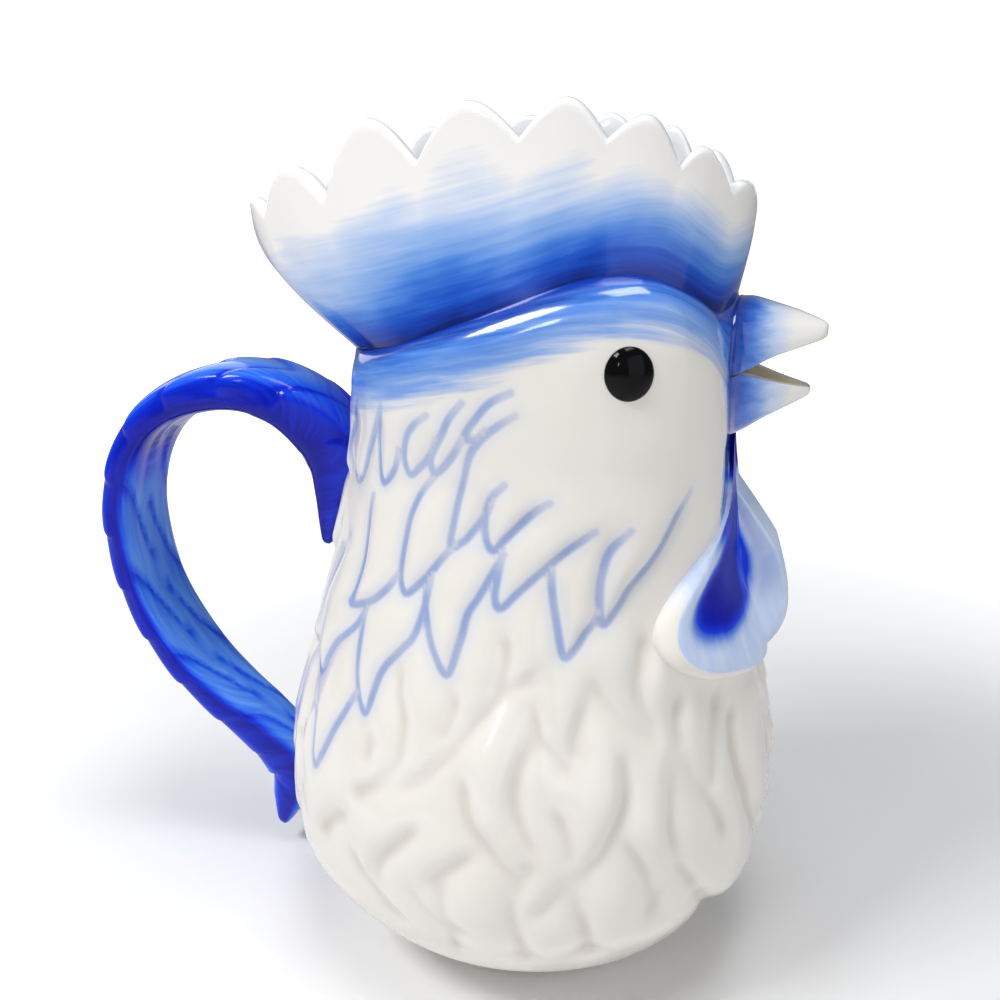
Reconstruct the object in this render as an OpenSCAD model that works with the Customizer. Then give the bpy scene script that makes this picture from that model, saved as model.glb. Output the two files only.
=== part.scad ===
// Glazed ceramic pitcher in the form of a hen: feathered body, scalloped crown
// around the mouth, open beak as the pouring lip, wattles, and a tail plume
// curled into the handle. The beak points along +X and the foot stands on Z = 0.

/* [Body] */
// Radius of the foot, where the belly meets the table
foot_r = 38; // [33:0.5:43]
// Largest radius of the belly, under the feather relief
belly_r = 68.2; // [62:0.2:76]
// Height of the widest part of the belly
belly_z = 55; // [48:1:62]
// Height where the neck stops narrowing and the head begins
neck_z = 150; // [144:1:156]
// Half length of the neck from its axis to the nape
nape_r = 48.6; // [44:0.2:53]
// Half length of the head from its axis to the face
face_r = 51.5; // [47:0.5:56]
// Half width of the head across the cheeks
cheek_r = 44.2; // [40:0.2:48]
// Thickness of the body wall
wall = 5; // [4:0.25:6.5]
// Thickness of the floor inside the belly
floor_t = 6; // [4.5:0.25:8]

/* [Foot] */
// Height of the bare foot under the belly
foot_h = 2; // [1:0.25:3]
// How far the foot lies inside the edge of the belly
foot_inset = 3; // [2:0.5:6]

/* [Feathers] */
// Unit of height in which the feather table is written
plume_h = 100; // [94:0.5:106]
// How far a feather stands out of the wall
plume_rise = 2.7; // [1.4:0.1:3.4]
// How far the smooth cheek stands out of the wall
cheek_rise = 1.6; // [0.8:0.1:2.4]

/* [Crown] */
// Height of the crease at the nape, where crown and body meet
crease_z = 168; // [162:0.5:174]
// How much higher the crease runs over the cheeks
crease_rise = 23; // [18:0.5:27]
// Half length of the crease towards the nape
crease_back = 48.2; // [43:0.2:50]
// Half length of the crease towards the beak
crease_front = 51; // [46:0.5:54]
// Half width of the crease
crease_side = 36.5; // [33:0.5:40]
// Height of the rounded shoulder under the crease
shoulder_h = 9; // [6:0.5:12]
// Height of the tallest crown point above the crease at the nape
crown_h = 60; // [50:0.5:70]
// Half length of the crown's rim
rim_l = 66.5; // [60:0.5:73]
// Half width of the crown's rim
rim_w = 31; // [27:0.5:35]
// How far the rim's middle lies behind the body's axis
rim_back = 12.5; // [8:0.5:17]
// Thickness of the crown at its lip
lip_t = 4.4; // [3.5:0.1:5.5]

/* [Beak] */
// Reach of the upper beak in front of the face
beak_l = 22; // [18:0.5:26]
// Half width of the beak where it leaves the face
beak_w = 11.5; // [10:0.25:13]
// How far the corner of the mouth lies under the crease
mouth_drop = 18.5; // [16:0.25:21]
// Gap between the upper beak and the crown over it
brow_gap = 0.5; // [0.3:0.1:1.5]
// Depth of the lower beak at the face
lower_h = 17; // [14:0.5:19]
// Wall of the lower beak's trough
trough_t = 4; // [3:0.25:5]

/* [Wattles] */
// Height of each wattle
wattle_h = 56.5; // [50:0.5:62]
// Width of each wattle
wattle_w = 40; // [35:0.5:44]
// Thickness of a wattle, from its seat on the neck to its rim
wattle_t = 11; // [9.5:0.25:12.5]
// Depth of the hollow in a wattle
wattle_dish = 5.5; // [3.5:0.25:7]
// Least clay left between the hollow and the body's skin
wattle_floor = 1.2; // [1:0.1:2]
// Gap between the two wattles on the middle plane
wattle_gap = 0.6; // [0.4:0.1:1.6]

/* [Eyes] */
// Diameter of an eye
eye_d = 11.4; // [9:0.2:14]
// How far an eye bulges out of the cheek
eye_rise = 2.6; // [1.6:0.1:3.6]

/* [Handle] */
// Reach of the handle behind the straight line down the back
handle_reach = 72; // [64:0.5:80]
// Height at which the plume grows out of the belly
handle_low_z = 35; // [31:0.5:39]
// How far under the crease at the nape the plume's curl rests
handle_drop = 23; // [20:0.5:27]
// Thickness of the handle where a hand holds it
handle_t = 10; // [8.5:0.25:11.5]
// Width of the handle
handle_w = 26; // [22:0.5:30]
// How far the carved leaves step the handle's edges
leaf_step = 1.4; // [0.6:0.1:2.2]

/* [Hidden] */

white = "#f3f0e8";
sky = "#7fa6dc";
cobalt = "#1c3fb4";
deep_cobalt = "#10208a";
bisque = "#d9cfbd";
gloss_black = "#0c0c0e";

// Columns round the body, rows up its wall and rows over its shoulder
columns = 96;
wall_rows = 36;
shoulder_rows = 4;
rows = wall_rows + shoulder_rows;
half_columns = columns / 2;
// Facets of the foot, facets of an eye and rings from its edge to its middle
round_fn = 48;
eye_fn = 24;
eye_rings = 3;
// Heights between which the round plan of the belly turns into that of the head
plan_low_z = neck_z - 2 * plume_h / 5;
plan_high_z = neck_z + plume_h / 10;
// How square the front of the head is in plan, and how round the belly
head_power = 3.3;
round_power = 2;
crease_power = 2.6;
// Depth of the blocks that trim a piece to the wall it stands on
trim_depth = 4 * wall;
// Columns to each side of the middle plane, and rows, of the skin that trims each piece
beak_columns = [-11, 11];
beak_rows = [26, rows];
wattle_columns = [-2, 17];
wattle_rows = [14, 34];
eye_columns = [10, 19];
eye_rows = [30, 38];
handle_columns = [42, 54];
handle_rows = [2, wall_rows];
// Columns and rows of the spout's window in the front of the head
spout_columns = 2;
spout_low_row = 32;
spout_high_row = 34;
// Rows of the wall that the inner surface repeats, and the coarse rows under them
inner_rows = [31, 32, 33, 34, wall_rows];
belly_step_shares = [0, 0.07, 0.19, 0.36, 0.6, 0.84];

// Radius shares from foot to belly and from belly to neck. Rows past 0 and 1 mirror
// their neighbours, so that the wall runs on smoothly at the belly and at the neck.
rise_shares = [[0, 0], [0.11, 0.2], [0.33, 0.59], [0.64, 0.945], [1, 1], [1.36, 0.945]];
fall_shares = [[-0.21, 0.845], [0, 1], [0.21, 0.845], [0.42, 0.565], [0.63, 0.31], [0.84, 0.11],
    [1, 0], [1.16, 0.11]];
// Height shares of the crease by turn from the beak
crease_shares = [[0, 0.74], [12, 0.64], [23, 0.62], [34, 0.83], [45, 1], [56, 1], [70, 0.89],
    [90, 0.67], [110, 0.45], [134, 0.2], [155, 0.065], [180, 0]];
// Places of the eye under the crease and of the cheek over the neck line
eye_angle = 54.5;
eye_z = crease_h(eye_angle) - plume_h / 5;
cheek_angle = 50;
cheek_z = neck_z + 10 / 100 * plume_h;
cheek_spread_angle = 34;
cheek_reach = 30 / 100 * plume_h;
// Turns and height shares of the crown's valleys and points, from beak to nape
rim_turn_shares = [0, 14, 23, 34, 41, 50, 58.5, 67, 76.5, 87, 98, 110, 123, 137, 150, 167, 180];
rim_shares = [0.62, 0.715, 0.68, 0.835, 0.77, 0.94, 0.86, 1, 0.865, 0.995, 0.785, 0.945,
    0.64, 0.77, 0.575, 0.64, 0.515];
// How much fuller the rim is towards the beak
rim_egg_share = 0.32;

// Feathers of one flank, each with the turn and height of its root, the turn and
// height of its tip, its half width in degrees and how far it bows. The other
// flank mirrors them. Heights are shares of the feather unit.
plume_shares = [
    [171, 1.62, 172, 1.36, 8, 0], [156, 1.62, 158, 1.37, 8, 0], [146, 1.61, 150, 1.38, 7, 0],
    [132, 1.61, 140, 1.37, 7, -1], [117, 1.63, 127, 1.4, 7, -1], [107, 1.62, 116, 1.43, 6, -1],
    [97, 1.65, 107, 1.45, 7, -1], [84, 1.66, 97, 1.55, 5, 0], [82, 1.6, 99, 1.3, 8, 3],
    [73, 1.45, 88, 1.3, 6, 2], [102, 1.46, 111, 1.18, 9, 2], [123, 1.42, 131, 1.1, 9, 1],
    [142, 1.4, 147, 1.12, 9, 0], [161, 1.4, 164, 1.13, 10, 0], [177, 1.4, 178, 1.08, 9, 0],
    [68, 1.34, 85, 1.17, 7, 2], [134, 1.26, 140, 0.88, 9, 0], [152, 1.22, 155, 0.9, 10, 0],
    [170, 1.2, 171, 0.88, 10, 0], [94, 1.29, 97, 1.01, 9, 2], [66, 1.3, 70, 1.06, 8, 1],
    [47, 1.4, 60, 1.14, 6, 1], [115, 1.2, 120, 0.86, 10, 2], [36, 1.22, 38, 0.96, 9, 0],
    [78, 1.18, 84, 0.94, 8, 1], [56, 1.14, 49, 0.83, 8, -1], [131, 0.99, 133, 0.62, 9, 1],
    [87, 1.14, 94, 0.83, 8, 1], [101, 1.1, 105, 0.73, 9, 2], [68, 1.1, 69, 0.8, 9, 1],
    [44, 1.1, 43, 0.79, 8, 0], [30, 1.02, 31, 0.72, 9, 0], [14, 1.06, 14, 0.8, 9, 0],
    [1, 1.04, 1, 0.79, 8, 0], [112, 0.99, 119, 0.67, 9, 0], [63, 1, 66, 0.57, 9, -3],
    [75.5, 0.88, 70.5, 0.53, 6, 1], [53, 0.88, 51, 0.48, 8, -1], [32, 0.94, 31, 0.55, 8, 0],
    [5, 0.92, 6, 0.6, 7, -1], [19, 0.91, 20, 0.6, 7, 1], [30, 0.91, 30, 0.63, 7, 0],
    [42.5, 0.92, 42.5, 0.63, 7, -1], [58, 0.91, 58, 0.6, 7, 1], [71, 0.94, 71, 0.61, 7, -1],
    [84, 0.92, 85, 0.63, 7, -1], [97, 0.91, 99, 0.62, 7, 1], [110.5, 0.92, 110.5, 0.61, 7, 0],
    [120.5, 0.95, 122.5, 0.6, 7, 1], [133.5, 0.95, 133.5, 0.63, 7, 1], [149, 0.94, 150, 0.63, 7, 1],
    [161, 0.93, 162, 0.61, 7, -1], [175.5, 0.92, 175.5, 0.62, 7, 1], [0, 0.8, 0, 0.48, 7, 0],
    [12.5, 0.78, 11.5, 0.48, 7, -1], [24, 0.79, 24, 0.48, 7, -1], [38, 0.78, 39, 0.47, 7, 0],
    [50.5, 0.8, 51.5, 0.48, 7, 1], [61.5, 0.78, 60.5, 0.47, 7, 0], [75.5, 0.78, 74.5, 0.47, 7, 1],
    [87.5, 0.81, 87.5, 0.48, 7, 1], [99, 0.78, 99, 0.47, 7, -1], [112.5, 0.78, 112.5, 0.45, 7, -1],
    [124, 0.79, 125, 0.46, 7, 0], [136.5, 0.81, 135.5, 0.46, 7, 0], [149, 0.82, 149, 0.46, 7, 0],
    [162.5, 0.8, 163.5, 0.48, 7, 0], [175.5, 0.81, 174.5, 0.46, 7, -1], [4, 0.65, 3, 0.34, 7, -1],
    [17.5, 0.68, 16.5, 0.35, 7, 0], [28.5, 0.65, 28.5, 0.35, 7, 1], [43.5, 0.66, 42.5, 0.33, 7, 0],
    [56.5, 0.68, 56.5, 0.36, 7, 0], [67.5, 0.64, 67.5, 0.36, 7, -1], [79, 0.64, 78, 0.36, 7, -1],
    [91, 0.66, 92, 0.33, 7, -1], [103.5, 0.68, 102.5, 0.33, 7, 0], [118.5, 0.64, 117.5, 0.34, 7, 1],
    [130, 0.65, 131, 0.35, 7, 0], [143.5, 0.66, 143.5, 0.33, 7, -1], [155, 0.67, 155, 0.36, 7, 0],
    [166, 0.65, 165, 0.35, 7, 1], [180, 0.67, 181, 0.34, 7, 1], [0, 0.52, 0, 0.24, 7, -1],
    [13, 0.55, 13, 0.24, 7, 1], [22.5, 0.53, 24.5, 0.24, 7, -1], [36.5, 0.52, 38.5, 0.24, 7, 1],
    [48, 0.55, 48, 0.23, 7, 0], [63, 0.52, 63, 0.25, 7, 0], [75.5, 0.51, 75.5, 0.24, 7, 0],
    [86.5, 0.52, 88.5, 0.24, 7, 0], [100.5, 0.53, 101.5, 0.22, 7, -1], [110, 0.52, 111, 0.23, 7, 0],
    [123, 0.54, 125, 0.22, 7, 0], [138, 0.53, 140, 0.22, 7, 1], [147.5, 0.54, 149.5, 0.23, 7, 0],
    [160.5, 0.54, 162.5, 0.24, 7, -1], [175.5, 0.54, 176.5, 0.25, 7, 1], [3.5, 0.39, 2.5, 0.14, 7, -1],
    [16.5, 0.42, 16.5, 0.14, 7, 1], [31, 0.41, 32, 0.15, 7, -1], [43.5, 0.42, 42.5, 0.13, 7, -1],
    [56.5, 0.38, 57.5, 0.14, 7, 0], [66.5, 0.39, 65.5, 0.15, 7, -1], [80, 0.42, 79, 0.15, 7, 0],
    [93.5, 0.41, 92.5, 0.13, 7, 1], [105, 0.41, 106, 0.16, 7, 1], [116.5, 0.42, 115.5, 0.13, 7, 0],
    [129, 0.42, 128, 0.14, 7, -1], [141.5, 0.41, 142.5, 0.13, 7, 1], [153.5, 0.4, 154.5, 0.16, 7, -1],
    [168.5, 0.38, 167.5, 0.14, 7, 0], [178.5, 0.38, 179.5, 0.16, 7, 1]];

// Shares of a feather's rise at its root and of its length over which it comes up,
// roundness of its section, and how sharply two feathers meet
plume_root_share = 0.25;
plume_fade_share = 0.35;
dome_power = 0.75;
meet_power = 5;
// Swing of the belly's feathers, none for a root above the first share, full under the last
sway_angle = 3;
sway_shares = [1.05, 0.85];

// Centre line of the plume: reach share, share of the thickness that it stands off,
// height share between its two seats, thickness share and width share
handle_shares = [
    [0, 0.78, 0.662, 0.3, 0.14], [0, 0.74, 0.728, 0.72, 0.28], [0, 0.68, 0.808, 1.24, 0.4],
    [0, 0.68, 0.89, 1.8, 0.51], [0, 1, 0.966, 2.1, 0.63], [0.24, 0, 1.028, 1.9, 0.79],
    [0.35, 0, 1.066, 1.64, 0.92], [0.49, 0, 1.086, 1.52, 0.98], [0.645, 0, 1.078, 1.42, 1],
    [0.8, 0, 1.04, 1.28, 1], [0.93, 0, 0.965, 1.15, 1], [1.002, 0, 0.862, 1.1, 1],
    [1.019, 0, 0.745, 1.1, 1], [0.99, 0, 0.627, 1.08, 1], [0.922, 0, 0.5, 1.03, 1],
    [0.815, 0, 0.382, 1.04, 1], [0.6625, 0, 0.264, 1.1, 0.96], [0.485, 0, 0.164, 1.3, 0.84],
    [0.28, 0, 0.062, 1.65, 0.66], [0, 1, -0.045, 2, 0.47], [0, 1.15, -0.15, 1.15, 0.38],
    [0, 1.32, -0.255, 0.35, 0.22]];
// Steps between two points of that line, sides of the plume and carved leaves on it
plume_steps = 2;
plume_sides = 12;
plume_power = 4;
leaf_count = 9;

// Corner of the mouth and depth of the upper beak over it
mouth_z = crease_h(0) - mouth_drop;
upper_h = mouth_drop - brow_gap;

// Seat of the wattles on the neck and the way they face, as turns from the beak
wattle_seat_angle = 14;
wattle_angle = 40;
wattle_top_z = mouth_z - lower_h;
wattle_mid_z = wattle_top_z - wattle_h / 2;
wattle_low_z = wattle_top_z - wattle_h;
wattle_r = wattle_seat_r(wattle_mid_z) - wattle_t / 11;
wattle_x = wattle_r * cos(wattle_seat_angle);
wattle_y = wattle_r * sin(wattle_seat_angle);
// How far the top and the bottom of a wattle lie across and out from its middle
wattle_top_shift = [wattle_w / 13, wattle_step(wattle_top_z) - wattle_t];
wattle_low_shift = [wattle_w / 12, wattle_step(wattle_low_z) - wattle_t / 9];
wattle_sides = 24;
lean_power = 1.1;
tear_power = 2.1;
// Rings from the hollow over the rim to the back: share of the outline, share of the
// thickness, share of the hollow's depth and shares of the floor kept off the skin
wattle_ring_shares = [[0.3, 1, 1, 1], [0.55, 1, 0.8, 1], [0.7, 1, 0.3, 1], [0.8, 1, 0, 1.8],
    [0.9, 0.94, 0, 1.8], [0.98, 0.72, 0, 0], [1, 0.4, 0, 0], [0.95, 0, 0, 0]];

// Beak stations: share of the reach, width share, share of the height to the top
// edge and to the lower edge, both from the corner of the mouth
upper_shares = [[-0.25, 1.6, 0.82, 0.03], [-0.02, 1.5, 0.95, 0.03], [0.06, 1.22, 0.96, 0.03],
    [0.18, 1.02, 0.96, 0.08], [0.4, 0.76, 0.89, 0.22], [0.65, 0.5, 0.8, 0.34], [0.86, 0.3, 0.7, 0.45],
    [0.98, 0.13, 0.63, 0.53]];
lower_shares = [[-0.25, 1.6, -1.1, 0], [-0.02, 1.5, -1.06, 0], [0.06, 1.2, -1, 0],
    [0.17, 1, -0.92, -0.03], [0.35, 0.8, -0.76, -0.1], [0.56, 0.56, -0.6, -0.17],
    [0.74, 0.36, -0.46, -0.22], [0.85, 0.18, -0.36, -0.25]];
beak_sides = 12;

function lerp(a, b, t) = a + (b - a) * t;
function clamp01(t) = min(1, max(0, t));
function smooth(t) = let (u = clamp01(t)) u * u * (3 - 2 * u);
function quad(a, b, c, d) = [[a, b, c], [a, c, d]];
function unit(v) = v / norm(v);
function flat(lists) = [for (l = lists) each l];

// Smooth curve through the rows of a table, at a place x in its first column
function slope(t, k) = let (a = max(0, k - 1), b = min(len(t) - 1, k + 1))
    (t[b][1] - t[a][1]) / (t[b][0] - t[a][0]);
function curve(t, x) = let (
        last = len(t) - 1,
        k = min(last - 1, max(0, len([for (r = t) if (r[0] <= x) 1]) - 1)),
        w = t[k + 1][0] - t[k][0],
        u = clamp01((x - t[k][0]) / w))
    t[k][1] * (1 + 2 * u) * (1 - u) * (1 - u) + slope(t, k) * w * u * (1 - u) * (1 - u)
    + t[k + 1][1] * u * u * (3 - 2 * u) - slope(t, k + 1) * w * u * u * (1 - u);

// Radius of an oval with half lengths a and b, at a turn, with a given squareness
function oval_r(a, b, turn, power) =
    pow(pow(abs(cos(turn)) / a, power) + pow(abs(sin(turn)) / b, power), -1 / power);

// Radius of the bare wall, without feathers
function side_r(z, top_r) = z < belly_z
    ? lerp(foot_r, belly_r, curve(rise_shares, (z - foot_h) / (belly_z - foot_h)))
    : lerp(top_r, belly_r, curve(fall_shares, min(1, (z - belly_z) / (neck_z - belly_z))));
function wall_r(turn, z) = let (
        blend = smooth((z - plan_low_z) / (plan_high_z - plan_low_z)),
        power = cos(turn) > 0 ? lerp(round_power, head_power, blend) : round_power)
    oval_r(side_r(z, cos(turn) > 0 ? face_r : nape_r), side_r(z, cheek_r), turn, power);

// Height of the feather relief, seen along the wall's radius
function leaf(s) = s < 0.45 ? 1 - 0.45 * pow((0.45 - s) / 0.45, 2) : 1 - pow((s - 0.45) / 0.55, 1.8);
function plume_at(turn, z, f) = let (
        s = (f[1] * plume_h - z) / ((f[1] - f[3]) * plume_h),
        sway = sway_angle * clamp01((sway_shares[0] - f[1]) / (sway_shares[0] - sway_shares[1])),
        middle = lerp(f[0], f[2], s) + 4 * f[5] * s * (1 - s) + sway * sin(360 * s),
        q = s <= 0 || s >= 1 ? 1 : abs(turn - middle) / (f[4] * leaf(s)))
    q >= 1 ? 0 : lerp(plume_root_share, 1, s) * smooth(s / plume_fade_share) * pow(1 - q * q, dome_power);
// Neighbours meet in a soft groove: a sum of high powers instead of the largest one
function total(v) = v * [for (k = v) 1];
function plumes_at(turn, z) = plume_rise * pow(total([0, for (f = plume_shares)
    if (z < f[1] * plume_h && z > f[3] * plume_h) pow(plume_at(turn, z, f), meet_power)]), 1 / meet_power);
function cheek_at(turn, z) = let (
        q = pow((turn - cheek_angle) / cheek_spread_angle, 2) + pow((z - cheek_z) / cheek_reach, 2))
    q >= 1 ? 0 : cheek_rise * (1 - q * q);
function relief(turn, z) = let (a = abs(turn)) max(plumes_at(a, z), cheek_at(a, z));

// Crease where the crown grows out of the body
function crease_h(turn) = crease_z + crease_rise * curve(crease_shares, abs(turn));
function crease_r(turn) = oval_r(cos(turn) > 0 ? crease_front : crease_back, crease_side, turn,
    cos(turn) > 0 ? crease_power : round_power);
function turn_of(i) = let (a = 360 * i / columns) a > 180 ? a - 360 : a;
function ring_pt(r, turn, z) = [r * cos(turn), r * sin(turn), z];

// Point of the outer surface at column i and row j
function skin(i, j) = let (
        a = turn_of((i + columns) % columns),
        top = crease_h(a) - shoulder_h)
    j <= wall_rows
        ? let (z = lerp(foot_h, top, j / wall_rows)) ring_pt(wall_r(a, z) + relief(a, z), a, z)
        : let (
            t = 90 * (j - wall_rows) / shoulder_rows,
            r = wall_r(a, top) + relief(a, top))
          ring_pt(lerp(crease_r(a), r, cos(t)), a, top + shoulder_h * sin(t));
// The same place on the inner surface, and the inner edge of the crease
function inside(i, z) = let (a = turn_of((i + columns) % columns)) ring_pt(wall_r(a, z) - wall, a, z);
function inward(p) = let (spine = min(rim_l / 2, max(-rim_l / 2, p[0]))) -unit([p[0] - spine, p[1], 0]);
function crease_out(i) = skin(i, rows);
function crease_in(i) = crease_out(i) + wall * inward(crease_out(i));

module body_shell() {
    low_z = foot_h + floor_t;
    mid_z = lerp(foot_h, crease_z - shoulder_h, inner_rows[0] / wall_rows) - plume_h / 10;
    n = columns;
    h = half_columns;
    outer = [for (j = [0:rows]) for (i = [0:n - 1]) skin(i, j)];
    fine = [for (j = inner_rows) for (i = [0:n - 1])
        let (top = crease_h(turn_of(i)) - shoulder_h) inside(i, lerp(foot_h, top, j / wall_rows))];
    edge = [for (i = [0:n - 1]) crease_in(i)];
    coarse = [for (s = belly_step_shares) for (i = [0:h - 1]) inside(2 * i, lerp(low_z, mid_z, s))];
    f0 = len(outer);
    e0 = f0 + len(fine);
    c0 = e0 + n;
    low_middle = c0 + len(coarse);
    fine_rows = len(inner_rows);
    coarse_rows = len(belly_step_shares);
    function o(i, j) = j * n + (i + n) % n;
    function f(i, j) = j < fine_rows ? f0 + j * n + (i + n) % n : e0 + (i + n) % n;
    function c(i, j) = c0 + j * h + (i + h) % h;
    function in_window(i, j) = let (a = i < h ? i : i - n)
        a >= -spout_columns && a < spout_columns && j >= spout_low_row && j < spout_high_row;
    faces = flat([
        [for (j = [0:rows - 1]) for (i = [0:n - 1]) if (!in_window(i, j))
            each quad(o(i, j), o(i, j + 1), o(i + 1, j + 1), o(i + 1, j))],
        [for (j = [0:fine_rows - 1]) for (i = [0:n - 1]) if (!in_window(i, inner_rows[j]))
            each quad(f(i, j), f(i + 1, j), f(i + 1, j + 1), f(i, j + 1))],
        [for (i = [0:n - 1]) each quad(o(i, rows), f(i, fine_rows), f(i + 1, fine_rows), o(i + 1, rows))],
        [for (j = [0:coarse_rows - 2]) for (i = [0:h - 1])
            each quad(c(i, j), c(i + 1, j), c(i + 1, j + 1), c(i, j + 1))],
        [for (i = [0:h - 1]) each [
            [c(i, coarse_rows - 1), f(2 * i + 1, 0), f(2 * i, 0)],
            [c(i, coarse_rows - 1), c(i + 1, coarse_rows - 1), f(2 * i + 1, 0)],
            [c(i + 1, coarse_rows - 1), f(2 * i + 2, 0), f(2 * i + 1, 0)]]],
        [for (i = [0:h - 1]) [c(i, 0), low_middle, c(i + 1, 0)]],
        [for (i = [0:n - 1]) [o(i, 0), o(i + 1, 0), low_middle + 1]],
        spout_sides(n, f0)]);
    color(white) polyhedron(points = concat(outer, fine, edge, coarse,
        [[0, 0, low_z], [0, 0, foot_h]]), faces = faces, convexity = 10);
}

// Cut faces round the spout's window, from the outer grid to the inner one
function spout_sides(n, f0) = let (
        w = spout_columns,
        lo = spout_low_row,
        hi = spout_high_row,
        first = inner_rows[0])
    flat([
        [for (i = [-w:w - 1]) each quad(lo * n + (i + n) % n, f0 + (lo - first) * n + (i + n) % n,
            f0 + (lo - first) * n + (i + 1 + n) % n, lo * n + (i + 1 + n) % n)],
        [for (i = [-w:w - 1]) each quad(hi * n + (i + n) % n, hi * n + (i + 1 + n) % n,
            f0 + (hi - first) * n + (i + 1 + n) % n, f0 + (hi - first) * n + (i + n) % n)],
        [for (j = [lo:hi - 1]) each quad(j * n + n - w, (j + 1) * n + n - w,
            f0 + (j + 1 - first) * n + n - w, f0 + (j - first) * n + n - w)],
        [for (j = [lo:hi - 1]) each quad(j * n + w, f0 + (j - first) * n + w,
            f0 + (j + 1 - first) * n + w, (j + 1) * n + w)]]);

// Block with the body's own skin as its outer face, to trim a piece that stands on
// it, between two columns and two rows
function mirrored(c) = [-c[1], -c[0]];
module wall_block(c, r) {
    w = c[1] - c[0] + 1;
    h = r[1] - r[0] + 1;
    outer = [for (j = [r[0]:r[1]]) for (i = [c[0]:c[1]]) skin(i, j)];
    inner = [for (p = outer) let (k = 1 - trim_depth / norm([p[0], p[1]])) [k * p[0], k * p[1], p[2]]];
    m = w * h;
    function o(i, j) = j * w + i;
    function n(i, j) = m + j * w + i;
    polyhedron(points = concat(outer, inner), faces = flat([
        [for (j = [0:h - 2]) for (i = [0:w - 2]) each quad(o(i, j), o(i, j + 1), o(i + 1, j + 1), o(i + 1, j))],
        [for (j = [0:h - 2]) for (i = [0:w - 2]) each quad(n(i, j), n(i + 1, j), n(i + 1, j + 1), n(i, j + 1))],
        [for (i = [0:w - 2]) each quad(o(i, 0), o(i + 1, 0), n(i + 1, 0), n(i, 0))],
        [for (i = [0:w - 2]) each quad(o(i, h - 1), n(i, h - 1), n(i + 1, h - 1), o(i + 1, h - 1))],
        [for (j = [0:h - 2]) each quad(o(0, j), n(0, j), n(0, j + 1), o(0, j + 1))],
        [for (j = [0:h - 2]) each quad(o(w - 1, j), o(w - 1, j + 1), n(w - 1, j + 1), n(w - 1, j))]]));
}

// Rim of the crown: turn along it, valley height and true height at column i
function rim_step(i) = let (k = i <= half_columns ? i : columns - i) 16 * k / half_columns;
function rim_turn(i) = let (u = rim_step(i), k = min(15, floor(u)))
    lerp(rim_turn_shares[k], rim_turn_shares[k + 1], u - k);
function valley_h(i) = let (u = rim_step(i), k = min(14, 2 * floor(u / 2)))
    crown_h * lerp(rim_shares[k], rim_shares[k + 2], (u - k) / 2);
function rim_h(i) = let (
        u = rim_step(i),
        k = min(15, floor(u)),
        t = u - k,
        rising = k % 2 == 0)
    crown_h * lerp(rim_shares[k], rim_shares[k + 1], rising ? sin(90 * t) : 1 - cos(90 * t));
function rim_pt(i, z) = let (a = rim_turn(i), side = i <= half_columns ? 1 : -1)
    [rim_l * cos(a) - rim_back, side * rim_w * sin(a) * (1 + rim_egg_share * cos(a)), z];
// Point of the crown's outer face at column i, from the crease (s = 0) to the lip (s = 1)
function crown_pt(i, s) = let (
        root = crease_out(i),
        rim = rim_pt(i, 0),
        low = crease_z + valley_h(i),
        z = lerp(root[2], low, s) + (crease_z + rim_h(i) - low) * pow(s, 3),
        bend = sin(90 * s))
    [lerp(root[0], rim[0], bend), lerp(root[1], rim[1], bend), z];
function crown_in(i, s) = let (p = crown_pt(i, s), t = lerp(wall, lip_t, s)) p + t * inward(p);

crown_out_shares = [0, 0.16, 0.38, 0.62, 0.84, 1];
crown_in_shares = [1, 0.72, 0.4, 0];

module crown() {
    n = columns;
    drop = [0, 0, -lip_t / 3];
    // The lip is rounded: both faces stop a little short of its crest
    function low(s) = s == 1 ? drop : [0, 0, 0];
    outer = [for (s = crown_out_shares) for (i = [0:n - 1]) crown_pt(i, s) + low(s)];
    crest = [for (i = [0:n - 1]) (crown_pt(i, 1) + crown_in(i, 1)) / 2];
    inner = [for (s = crown_in_shares) for (i = [0:n - 1]) s == 0 ? crease_in(i) : crown_in(i, s) + low(s)];
    layers = len(crown_out_shares) + 1 + len(crown_in_shares);
    function v(i, j) = j % layers * n + (i + n) % n;
    color(sky) polyhedron(points = concat(outer, crest, inner), faces = concat(
        [for (j = [0:layers - 2]) for (i = [0:n - 1])
            each quad(v(i, j), v(i, j + 1), v(i + 1, j + 1), v(i + 1, j))],
        [for (i = [0:n - 1]) each [[v(i, 0), v(i + 1, 0), v(i + 1, layers - 1)],
            [v(i, 0), v(i + 1, layers - 1), v(i, layers - 1)]]]), convexity = 10);
}

// Beak halves: closed sections along X, swept from behind the face to the tip
function fan(n) = [[for (i = [0:n - 1]) i]];
function strip(n) = flat([for (i = [0:n / 2 - 2]) quad(i, i + 1, n - 2 - i, n - 1 - i)]);
module loft(sections, cap) {
    n = len(sections[0]);
    m = len(sections);
    polyhedron(points = flat(sections), faces = concat(
        [for (j = [0:m - 2]) for (i = [0:n - 1])
            each quad(j * n + i, j * n + (i + 1) % n, (j + 1) * n + (i + 1) % n, (j + 1) * n + i)],
        [for (f = cap) [for (k = [len(f) - 1:-1:0]) f[k]]],
        [for (f = cap) [for (k = f) (m - 1) * n + k]]), convexity = 6);
}
function upper_section(s) = let (
        x = face_r + s[0] * beak_l,
        w = s[1] * beak_w,
        top = mouth_z + s[2] * upper_h,
        low = mouth_z + s[3] * upper_h)
    [for (k = [0:beak_sides - 1]) let (a = -360 * k / beak_sides, c = cos(a), d = sin(a))
        [x, w * sign(c) * pow(abs(c), 0.8), d < 0
            ? low + (low - mouth_z) / 6 * d : lerp(low, top, pow(d, 0.8))]];
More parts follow.
